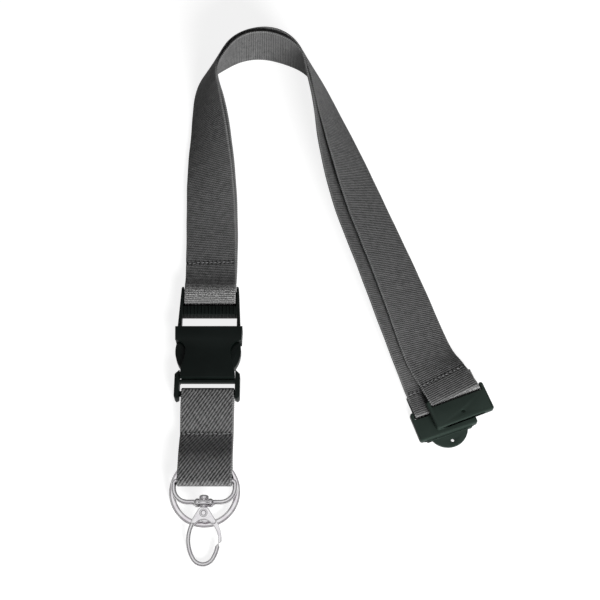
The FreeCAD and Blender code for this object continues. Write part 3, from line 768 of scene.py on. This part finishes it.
@dataclass
class SeamRow:
    """A row of sewing thread across a strap."""

    count: int = 11
    pitch: float = 2.09 * MM
    length: float = 1.55 * MM
    thickness: float = 0.4 * MM
    crooked: float = 0.16

    def make(self, station: Station, material: bpy.types.Material, half_thickness: float,
             seed: int) -> bpy.types.Mesh:
        """Sew the row.

        Args:
            station: the strap's section under the row.
            material: the thread's finish.
            half_thickness: from the strap's middle to its face.
            seed: picks the row's small irregularities.

        Returns:
            The thread's mesh.
        """
        up = station.normal if station.normal.z > 0 else -station.normal
        start = bpy.data.meshes.new("holes")
        spots = []
        for k in range(self.count):
            offset = (k - (self.count - 1) / 2) * self.pitch
            stray = 0.13 * MM * math.sin(k * 2.3 + seed)
            spots.append(station.point + station.across * offset + station.travel * stray
                         + up * half_thickness)
        start.from_pydata(spots, [], [])
        plan = GeometryPlan("stitch_row")
        length = plan.size("Stitch Length", self.length)
        thickness = plan.size("Thread Thickness", self.thickness)
        crooked = plan.size("Crookedness", self.crooked)
        variety = plan.size("Seed", seed)
        ball = plan.add("GeometryNodeMeshUVSphere", {}, {"Segments": 12, "Rings": 10, "Radius": 0.5})
        scale = plan.vector(length, thickness, thickness * 0.8)
        thread = plan.add("GeometryNodeTransform", {}, {"Geometry": ball, "Scale": scale})
        thread = plan.add("GeometryNodeSetShadeSmooth", {}, {"Geometry": thread})
        swing = {2: crooked * -1.0, 3: crooked, "Seed": variety}
        wobble = plan.add("FunctionNodeRandomValue", {"data_type": "FLOAT"}, swing, 1)
        axes = {"primary_axis": "X", "secondary_axis": "Z"}
        turn = plan.add("FunctionNodeAxesToRotation", axes, {0: tuple(station.across), 1: tuple(up)})
        twist = plan.add("FunctionNodeAxisAngleToRotation", {}, {"Axis": (0.0, 0.0, 1.0), "Angle": wobble})
        turn = plan.add("FunctionNodeRotateRotation", {"rotation_space": "LOCAL"}, {0: turn, 1: twist})
        points = plan.add("GeometryNodeMeshToPoints", {}, {"Mesh": plan.base()})
        sewn = {"Points": points, "Instance": thread, "Rotation": turn}
        return plan.make(plan.add("GeometryNodeInstanceOnPoints", {}, sewn), material, start)


RoutePoint = tuple[float, float, float, float, float]


@dataclass
class NeckStrap:
    """One of the two long straps round the wearer's neck."""

    name: str
    node: str
    length: float
    route_mm: Sequence[RoutePoint]
    seams: dict[str, str]
    # x, y, z and half length in mm of each painted highlight on a fold.
    fold_highlight_mm: Sequence[tuple[float, float, float, float]]
    ribbon: Ribbon = field(default_factory=Ribbon)

    def build(self, finishes: Finishes) -> bpy.types.Object:
        """Make the strap and the thread sewn through it.

        Args:
            finishes: the materials.

        Returns:
            The strap's object.
        """
        centre = follow_spline([(x * MM, y * MM, z * MM) for x, y, z, _, _ in self.route_mm])
        edge = follow_spline([self.edge_direction(compass, rise) for *_, compass, rise in self.route_mm])
        stations = self.ribbon.stations(centre, edge)
        at = {node: self.nearest(stations, node) for node in self.seams}
        fold_highlight = [(Vector((x * MM, y * MM, z * MM)), half * MM) for x, y, z, half in self.fold_highlight_mm]
        mesh = self.ribbon.mesh(stations, [station.distance for station in at.values()], fold_highlight=fold_highlight)
        strap = add_piece(self.name, mesh, finishes.neck, "neck", Slot.WEBBING, [self.node])
        for seed, (node, station) in enumerate(at.items(), 3):
            row = SeamRow().make(station, finishes.thread, self.ribbon.thickness / 2 - 0.04 * MM, seed)
            add_piece(self.seams[node], row, finishes.thread, "neck", Slot.THREAD, [node])
        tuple(centre[0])
        return strap

    @staticmethod
    def edge_direction(compass: float, rise: float) -> Triple:
        """Direction of the inner edge from its compass bearing and its rise, in degrees."""
        heading, lift = math.radians(compass), math.radians(rise)
        return math.cos(lift) * math.cos(heading), math.cos(lift) * math.sin(heading), math.sin(lift)

    @staticmethod
    def nearest(stations: Sequence[Station], node: str) -> Station:
        """The station nearest to a CAD node's middle."""
        low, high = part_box(node)
        return min(stations, key=lambda station: (station.point - (low + high) / 2).length)


FRONT_ROUTE: Sequence[RoutePoint] = (
    (0.0, 52.0, 1.85, 0, 0),
    (0.0, 43.0, 1.77, 0, 0),
    (0.0, 34.5, 1.84, 0, 0),
    (0.0, 26.4, 1.8, 0, 0),
    (0.0, 26.4, 7.1, 0, 0),
    (0.0, 32.5, 7.2, 0, 0),
    (0.0, 44.5, 2.95, 0, 0),
    (-0.9, 71.2, 2.8, 0, 3),
    (-1.7, 89.2, 4.9, 0, 11),
    (-2.7, 108.2, 7.5, 0, 26),
    (-3.6, 124.2, 9.6, 0, 41),
    (-4.8, 137.5, 10.9, -5, 49.5),
    (-5.9, 148.8, 11.2, -15, 57),
    (-4.9, 158.4, 11.6, -29, 64),
    (-0.6, 167.5, 11.7, -40, 69),
    (5.2, 176.8, 11.7, -56, 68),
    (14.2, 182.5, 11.93, -73, 68),
    (26.2, 183.9, 12.13, -94, 71),
    (37.6, 180.0, 12.25, -118, 73),
    (46.7, 170.2, 12.25, -142, 73),
    (53.1, 155.5, 11.93, -152, 68),
    (58.5, 137.5, 10.91, -157, 57),
    (66.2, 114.9, 9.34, -158, 45),
    (76.2, 84.1, 7.02, -158, 31),
    (87.0, 54.9, 6.13, -158, 26),
    (96.8, 26.8, 5.15, -158, 20),
    (105.6, -0.8, 3.99, -158, 12),
    (111.8, -11.9, 6.3, -159, 1),
    (117.5, -22.8, 7.75, -159, 0),
    (117.5, -22.8, 4.3, -159, 0),
    (115.2, -16.8, 4.6, -159, 0),
    (113.4, -12.1, 4.7, -159, 0),
)
BACK_ROUTE: Sequence[RoutePoint] = (
    (0.0, 40.2, 0.65, 0, 0),
    (0.3, 53.2, 0.65, 0, 0),
    (0.1, 71.2, 1.3, 0, 3),
    (-0.4, 89.2, 3.03, 0, 11),
    (-1.5, 108.2, 5.49, 0, 23),
    (-2.6, 124.2, 7.55, 0, 34),
    (-3.8, 137.4, 9.04, -5, 43),
    (-5.0, 148.5, 10.43, -17, 56),
    (-3.7, 157.3, 11.77, -33, 65),
    (2.7, 165.4, 12.44, -52, 77),
    (11.5, 173.8, 12.65, -70, 86),
    (23.5, 176.6, 12.65, -90, 90),
    (35.4, 173.2, 12.65, -112, 90),
    (45.9, 166.2, 12.63, -138, 83),
    (50.7, 154.2, 12.25, -150, 72),
    (56.6, 135.2, 11.51, -157, 62),
    (61.2, 113.3, 9.63, -158, 47),
    (70.0, 82.0, 7.2, -158, 32),
    (80.8, 52.8, 6.27, -158, 27),
    (90.6, 24.8, 5.1, -158, 21),
    (100.5, -2.3, 3.45, -158, 13),
    (106.2, -16.5, 2.0, -160.5, 1),
    (110.2, -27.7, 3.65, -160.5, 0),
    (110.2, -27.7, 0.6, -160.5, 0),
    (107.8, -21.2, 0.7, -160.5, 0),
    (106.3, -17.0, 0.7, -160.5, 0),
)


@dataclass
class ShortStrap:
    """The loop of webbing between the plug's bar and the bail."""

    loop_mm: Sequence[tuple[float, float]] = (
        (-20.6, 6.35), (-17.85, 6.3), (-17.85, 2.2), (-20.6, 2.15), (-28.0, 2.2), (-36.0, 2.6), (-39.6, 2.86),
        (-41.2, 2.86), (-45.0, 3.0), (-52.5, 3.2), (-59.5, 2.5), (-63.9, 2.5), (-65.5, 5.6), (-65.7, 9.15),
        (-62.4, 9.2), (-53.0, 8.6), (-45.2, 5.3), (-41.3, 3.92), (-39.5, 3.92), (-34.0, 5.0), (-27.0, 6.1),
    )
    axis_x: float = 0.4 * MM
    flat_length: float = 0.103
    ribbon: Ribbon = field(default_factory=Ribbon)

    def build(self, finishes: Finishes) -> bpy.types.Object:
        """Make the loop and its seam.

        Args:
            finishes: the materials.

        Returns:
            The loop's object.
        """
        centre = follow_spline([(self.axis_x, y * MM, z * MM) for y, z in self.loop_mm], 24, closed=True)
        edge = [Vector((1.0, 0.0, 0.0))] * len(centre)
        stations = self.ribbon.stations(centre, edge, closed=True)
        low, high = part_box("short_strap_stitching")
        middle = (low + high) / 2
        seam = min(stations, key=lambda station: (station.point - middle).length)
        mesh = self.ribbon.mesh(stations, [seam.distance], closed=True)
        loop = add_piece("short_strap_loop", mesh, finishes.short, "plug", Slot.WEBBING, ["short_strap"])
        row = SeamRow().make(seam, finishes.thread, self.ribbon.thickness / 2 - 0.04 * MM, 11)
        thread = add_piece("short_strap_seam", row, finishes.thread, "plug", Slot.THREAD,
                           ["short_strap_stitching"])
        return loop


# ---- plastic and metal parts -------------------------------------------------------------
@dataclass
class SoftenedPart:
    """A moulded, cast or pressed part whose edges are slightly rounded."""

    name: str
    node: str
    body: str
    slot: Slot
    edge: float

    def build(self, material: bpy.types.Material) -> bpy.types.Object:
        """Make the part in a finish."""
        mesh = softened_copy(self.node, self.edge)
        return add_piece(self.name, mesh, material, self.body, self.slot, [self.node])


@dataclass
class Buckle:
    """The side-release buckle: housing, plug and two sprung arms."""

    edge: float = 0.28 * MM

    def build(self, finishes: Finishes) -> None:
        """Make the four parts."""
        SoftenedPart("buckle_shell", "buckle_housing", "neck", Slot.BUCKLE, self.edge).build(finishes.buckle)
        SoftenedPart("buckle_frame", "buckle_plug", "plug", Slot.BUCKLE, self.edge).build(finishes.buckle)
        for side in ("left", "right"):
            part = SoftenedPart(f"button_{side}", f"plug_arm_{side}", f"arm_{side}", Slot.BUCKLE, self.edge)
            part.build(finishes.button)


@dataclass
class Clasp:
    """The breakaway clasp's two flat halves."""

    edge: float = 0.3 * MM

    def build(self, finishes: Finishes) -> None:
        """Make both halves."""
        for half in ("socket", "tongue"):
            part = SoftenedPart(f"clasp_{half}", f"breakaway_{half}", half, Slot.CLASP, self.edge)
            part.build(finishes.clasp)


@dataclass
class SnapHook:
    """The swivel hook: post, forked head, curved arm, rivet and sprung gate."""

    place: Matrix
    head_top: float = -12.2 * MM
    head_base: float = -18.3 * MM
    half_head: float = 1.6 * MM
    half_slot: float = 0.85 * MM
    pivot: float = -14.6 * MM
    wire: float = 2.1 * MM
    half_width: float = 6.75 * MM
    bottom: float = -37.4 * MM
    bottom_radius: float = 5.2 * MM
    widest: float = -26.5 * MM
    tip: float = -29.2 * MM
    nib: float = 0.9 * MM
    knob_base: float = -8.15 * MM
    head_edge: float = 0.3 * MM
    lever_edge: float = 0.2 * MM
    half_top: float = 2.15 * MM
    half_base: float = 5.75 * MM
    arch_half: float = 4.45 * MM
    arch_rise: float = 4.6 * MM
    arch_drop: float = 3.9 * MM
    web_edge: float = 2.6 * MM

    def build(self, finishes: Finishes) -> None:
        """Make the hook's pieces."""
        metal = finishes.nickel
        made = {"hook_casting": ("hook_body", [self.head(), self.arm()]),
                "hook_post": ("swivel_post", [self.post()]),
                "hook_rivet": ("gate_rivet", [self.rivet()])}
        for name, (node, meshes) in made.items():
            add_piece(name, joined(meshes, self.place), metal, "hook", Slot.NICKEL, [node])
        SoftenedPart("hook_lever", "hook_gate", "gate", Slot.NICKEL, self.lever_edge).build(metal)

    def head(self) -> bpy.types.Mesh:
        """Two rounded cheeks joined by a web behind the gate's slot."""
        base, top = self.head_base, self.head_top
        flank = [(self.half_top - 0.65 * MM, top + 0.15 * MM), (self.half_top, top - 0.35 * MM),
                 (self.half_base - 0.2 * MM, base + 0.35 * MM), (self.half_base, base - 0.5 * MM),
                 (self.half_base - 0.55 * MM, base - 1.1 * MM)]
        mirrored = [(-x, y) for x, y in reversed(flank)]
        arch = [(self.arch_half * math.cos(a), base - self.arch_drop + self.arch_rise * math.sin(a))
                for a in (math.radians(angle) for angle in range(38, 143, 8))]
        outline = mirrored[-1:] + flank + arch + mirrored[:-1]
        web = [(x, y) for x, y in outline if x < -self.web_edge] + [(-self.web_edge, top - 0.6 * MM)]
        cheeks = [slab(outline, self.half_slot, self.half_head, self.head_edge),
                  slab(outline, -self.half_head, -self.half_slot, self.head_edge),
                  slab(web, -self.half_slot, self.half_slot, 0.0)]
        return joined(cheeks, Matrix.Identity(4))

    def arm(self) -> bpy.types.Mesh:
        """The wire arm: left flank, round bottom and the stepped tip on the right."""
        a, b = self.half_width, self.bottom_radius
        low = self.bottom + b
        rise = self.widest - low
        radius = (a * a + rise * rise - b * b) / (2 * (a - b))
        turn = math.atan2(rise, radius - a)
        top = math.asin((self.head_base + 0.8 * MM - self.widest) / radius)
        end = math.asin((self.tip - self.widest) / radius)
        path = arc((radius - a, self.widest), radius, math.pi - top, math.pi + turn, 24)
        path += arc((0.0, low), b, math.pi + turn, math.tau - turn, 32)[1:-1]
        path += arc((a - radius, self.widest), radius, -turn, end, 12)
        radii = [self.wire / 2] * len(path)
        nib = path[-1] + (path[-1] - path[-2]).normalized() * self.nib
        path += [path[-1].lerp(nib, 0.05), path[-1].lerp(nib, 0.1), path[-1].lerp(nib, 0.9), nib]
        radii[-1] *= 0.93
        radii += [self.wire * 0.36, self.wire * 0.27, self.wire * 0.25, self.wire * 0.16]
        mesh = sweep(path, radii)
        set_smooth(mesh, 55.0)
        return mesh

    def post(self) -> bpy.types.Mesh:
        """The shaft, its collar above the head and the dimpled knob."""
        base, head = self.knob_base, self.head_top
        profile = [(head + 0.05 * MM, 1.5), (head + 0.25 * MM, 1.75), (head + 0.5 * MM, 1.5),
                   (head + 0.6 * MM, 1.2), (base, 1.2), (base, 1.95), (base + 0.2 * MM, 2.25),
                   (base + 0.9 * MM, 2.32), (base + 1.35 * MM, 2.1), (base + 1.7 * MM, 1.5),
                   (base + 1.72 * MM, 0.9), (base + 1.5 * MM, 0.4)]
        mesh = turned([(y, r * MM) for y, r in profile], Vector((0.0, 1.0, 0.0)), Vector((1.0, 0.0, 0.0)))
        set_smooth(mesh, 50.0)
        return mesh

    def rivet(self) -> bpy.types.Mesh:
        """The hollow-ended rivet that the gate turns on."""
        half = self.half_head
        end = [(half - 0.1 * MM, 1.9), (half + 0.25 * MM, 1.88), (half + 0.42 * MM, 1.6),
               (half + 0.42 * MM, 1.25), (half + 0.2 * MM, 0.95), (half - 0.35 * MM, 0.8),
               (half - 0.4 * MM, 0.2)]
        shank = [(-half + 0.1 * MM, 0.95), (half - 0.1 * MM, 0.95)]
        profile = [(-z, r) for z, r in reversed(end)] + shank + end
        mesh = turned([(z, r * MM) for z, r in profile], Vector((0.0, 0.0, 1.0)), Vector((1.0, 0.0, 0.0)))
        mesh.transform(Matrix.Translation((0.0, self.pivot, 0.0)))
        set_smooth(mesh, 50.0)
        return mesh


@dataclass
class Swivel:
    """The parts that hang from the short strap's lower fold, at their slope."""

    axis_x: float = 0.4 * MM
    bail_y: float = -63.7 * MM
    bail_z: float = 7.2 * MM
    slope: float = math.radians(9.23)
    wire: float = 2.2 * MM
    half_width: float = 14.0 * MM
    drop: float = 9.6 * MM
    corner: float = 6.5 * MM
    top_corner: float = 1.4 * MM
    collar_y: float = -9.95 * MM
    collar_half: float = 4.2 * MM
    collar_radius: float = 1.95 * MM
    ring_y: float = -67.7 * MM
    ring_z: float = 3.44 * MM
    ring_radius: float = 14.9 * MM
    ring_band: float = 2.7 * MM
    ring_turn: float = 0.94 * MM
    ring_rotations: float = 1.9
    ring_turned: float = math.radians(72.0)

    def place(self, y: float, z: float) -> Matrix:
        """The matrix that lays a flat shape down about a point of the lower axis."""
        return Matrix.Translation((self.axis_x, y, z)) @ Matrix.Rotation(self.slope, 4, "X")

    def rounded_loop(self, corners: Sequence[tuple[float, float, float]], steps: int = 12) -> list[Vector]:
        """A closed flat path with arcs at its corners.

        Args:
            corners: x, y and arc radius of each corner.
            steps: points along each arc.

        Returns:
            The points in order.
        """
        result = []
        count = len(corners)
        for i, (x, y, radius) in enumerate(corners):
            here = Vector((x, y, 0.0))
            before = Vector((*corners[i - 1][:2], 0.0)) - here
            after = Vector((*corners[(i + 1) % count][:2], 0.0)) - here
            half = before.angle(after) / 2
            inward = (before.normalized() + after.normalized()).normalized()
            middle = here + inward * (radius / math.sin(half))
            first = here + before.normalized() * (radius / math.tan(half)) - middle
            last = here + after.normalized() * (radius / math.tan(half)) - middle
            turn = first.angle(last)
            normal = first.cross(last).normalized()
            for k in range(steps + 1):
                result.append(middle + Matrix.Rotation(turn * k / steps, 3, normal) @ first)
        return result

    def bail(self, finishes: Finishes) -> bpy.types.Object:
        """The wire loop with its barrel collar."""
        w, d = self.half_width, -self.drop
        path = self.rounded_loop([(w, 0.0, self.top_corner), (w, d, self.corner), (-w, d, self.corner),
                                  (-w, 0.0, self.top_corner)])
        loop = sweep(path, [self.wire / 2] * len(path), closed=True)
        r, h = self.collar_radius, self.collar_half
        barrel = [(-h - 0.9 * MM, 1.0 * MM), (-h - 0.5 * MM, 1.2 * MM), (-h, 1.3 * MM),
                  (-h + 0.15 * MM, 1.7 * MM), (-h + 0.6 * MM, r), (-h + 1.2 * MM, r * 1.06),
                  (-h + 1.8 * MM, r), (-2.0 * MM, r * 0.9), (0.0, r * 0.88)]
        profile = barrel + [(-x, radius) for x, radius in reversed(barrel[:-1])]
        collar = turned(profile, Vector((1.0, 0.0, 0.0)), Vector((0.0, 1.0, 0.0)))
        collar.transform(Matrix.Translation((0.0, self.collar_y, 0.0)))
        mesh = joined([loop, collar], self.place(self.bail_y, self.bail_z))
        set_smooth(mesh, 50.0)
        return add_piece("bail_loop", mesh, finishes.nickel, "bail", Slot.NICKEL, ["swivel_bail"])

    def ring(self, finishes: Finishes) -> bpy.types.Object:
        """The split ring: a flat band wound twice, with one step between its turns."""
        plan = GeometryPlan("split_ring_coil")
        radius = plan.size("Mean Radius", self.ring_radius)
        band = plan.size("Band Width", self.ring_band)
        turn = plan.size("Turn Thickness", self.ring_turn)
        step = plan.size("Step Share", 0.06)
        winding = {"Resolution": 180, "Rotations": self.ring_rotations, "Start Radius": radius,
                   "End Radius": radius, "Height": 0.0}
        spiral = plan.add("GeometryNodeCurveSpiral", {}, winding)
        share = plan.add("GeometryNodeSplineParameter")
        rise = plan.add("ShaderNodeMapRange", {"interpolation_type": "SMOOTHSTEP"},
                        {0: share, 1: 0.5 - step, 2: 0.5 + step, 3: turn * -0.53, 4: turn * 0.53})
        lift = plan.vector(0.0, 0.0, rise)
        wound = plan.add("GeometryNodeSetPosition", {}, {"Geometry": spiral, "Offset": lift})
        wound = plan.add("GeometryNodeSetCurveNormal", {"mode": "Z_UP"}, {0: wound})
        circle = {"Resolution": 28, "Radius": 0.5}
        oval = plan.add("GeometryNodeCurvePrimitiveCircle", {"mode": "RADIUS"}, circle)
        flattened = {"Geometry": oval, "Scale": plan.vector(band, turn, 1.0)}
        oval = plan.add("GeometryNodeTransform", {}, flattened)
        swept = {"Curve": wound, "Profile Curve": oval, "Fill Caps": True}
        mesh = plan.make(plan.add("GeometryNodeCurveToMesh", {}, swept), finishes.steel)
        turn_to_back = Matrix.Rotation(self.ring_turned, 4, "Z")
        mesh.transform(self.place(self.ring_y, self.ring_z) @ turn_to_back)
        set_smooth(mesh, 40.0)
        return add_piece("key_ring_coil", mesh, finishes.steel, "ring", Slot.STEEL, ["split_ring"])

    def build(self, finishes: Finishes) -> None:
        """Make the bail, the ring and the snap hook."""
        self.bail(finishes)
        self.ring(finishes)
        SnapHook(self.place(self.bail_y, self.bail_z)).build(finishes)
        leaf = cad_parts["gate_spring"]
        leaf.data.materials.clear()
        leaf.data.materials.append(finishes.spring)


# ---- the whole lanyard and its setting -----------------------------------------------------
@dataclass
class Studio:
    """A pale table, soft light and the camera."""

    target: Triple = (0.044, 0.0312, 0.0)
    elevation: float = 64.5
    distance: float = 0.620
    lens_mm: float = 75.3
    table_size: float = 6.0

    def build(self) -> None:
        """Make the table, the lights and the camera."""
        self.table()
        self.world()
        self.lamp("front_panel", (0.5, -1.02, 0.5), 0.5, 31.0)
        self.lamp("right_panel", (1.05, 0.15, 0.6), 0.6, 1.0)
        self.lamp("left_panel", (-0.95, 0.0, 0.6), 0.6, 0.6)
        self.lamp("back_panel", (0.0, 1.1, 0.45), 0.6, 0.4)
        self.camera()
        bpy.context.scene.view_settings.view_transform = "Standard"

    def table(self) -> None:
        """The plain table top."""
        half = self.table_size / 2
        mesh = bpy.data.meshes.new("table")
        mesh.from_pydata([(-half, -half, 0.0), (half, -half, 0.0), (half, half, 0.0), (-half, half, 0.0)], [],
                         [(0, 1, 2, 3)])
        sheet = MaterialSheet("pale_table")
        seen = sheet.add("ShaderNodeLightPath", output="Is Camera Ray")
        mesh.materials.append(sheet.surface({"Base Color": (0.35, 0.35, 0.35), "Roughness": 0.9,
                                             "Specular IOR Level": 0.1, "Emission Color": (1.0, 1.0, 1.0),
                                             "Emission Strength": seen * 0.42 + 0.42}))
        table = bpy.data.objects.new("table", mesh)
        bpy.context.scene.collection.objects.link(table)

    def world(self) -> None:
        """Even light from above, darker towards the horizon so that metal has bands."""
        world = bpy.data.worlds.new("studio")
        world.use_nodes = True
        bpy.context.scene.world = world
        sheet = NodeSheet(world.node_tree)
        _, _, height = sheet.split(sheet.add("ShaderNodeTexCoord", output="Generated"))
        stops = [(0.0, 0.7), (0.5, 0.7), (0.52, 0.02), (0.77, 0.03), (0.81, 0.95), (0.86, 0.7), (0.9, 0.28),
                 (0.96, 0.34), (0.985, 0.95), (1.0, 0.95)]
        sky = sheet.add("ShaderNodeValToRGB", {"stops": [(at, (v, v, v * 1.01)) for at, v in stops]},
                        {0: height * 0.5 + 0.5})
        spill = sheet.add("ShaderNodeLightPath", output="Is Diffuse Ray")
        light = sheet.add("ShaderNodeBackground", {}, {"Color": sky, "Strength": 1.0 - spill * 0.92})
        sheet.add("ShaderNodeOutputWorld", {}, {"Surface": light})

    def lamp(self, name: str, place: Triple, size: float, power: float) -> None:
        """One soft square light aimed at the middle of the table."""
        data = bpy.data.lights.new(name, "AREA")
        data.size = size
        data.energy = power
        lamp = bpy.data.objects.new(name, data)
        lamp.location = place
        lamp.rotation_euler = (Vector(self.target) - Vector(place)).to_track_quat("-Z", "Y").to_euler()
        lamp.visible_glossy = False
        bpy.context.scene.collection.objects.link(lamp)

    def camera(self) -> None:
        """The camera that looks down the table."""
        data = bpy.data.cameras.new("camera")
        data.lens = self.lens_mm
        data.sensor_width = 36.0
        camera = bpy.data.objects.new("camera", data)
        tilt = math.radians(self.elevation)
        x, y, z = self.target
        camera.location = (x, y - self.distance * math.cos(tilt), z + self.distance * math.sin(tilt))
        camera.rotation_euler = (math.pi / 2 - tilt, 0.0, 0.0)
        bpy.context.scene.collection.objects.link(camera)
        bpy.context.scene.camera = camera


class Lanyard:
    """The whole lanyard, one sub-assembly after another."""

    def __init__(self) -> None:
        """Name the sub-assemblies."""
        # The last list of each strap places the painted highlights on its folds.
        self.front = NeckStrap("front_strap", "neck_strap_front", 0.447, FRONT_ROUTE,
                               {"neck_stitching": "neck_seam", "socket_end_stitching": "socket_seam"},
                               [(0.0, 31.8, 7.2, 3.6), (117.6, -23.4, 7.0, 1.3)])
        self.back = NeckStrap("back_strap", "neck_strap_back", 0.391, BACK_ROUTE,
                              {"tongue_end_stitching": "tongue_seam"}, [(110.4, -28.2, 3.0, 1.3)])
        self.short = ShortStrap()
        self.buckle = Buckle()
        self.swivel = Swivel()
        self.clasp = Clasp()

    def build(self, finishes: Finishes) -> None:
        """Make every piece."""
        self.front.build(finishes)
        self.back.build(finishes)
        self.short.build(finishes)
        self.buckle.build(finishes)
        self.swivel.build(finishes)
        self.clasp.build(finishes)


def main() -> None:
    """Build the setting and the lanyard."""
    logging.basicConfig(level=logging.INFO, format="%(name)s: %(message)s")
    Studio().build()
    Lanyard().build(Finishes())


if __name__ == "__main__":
    main()
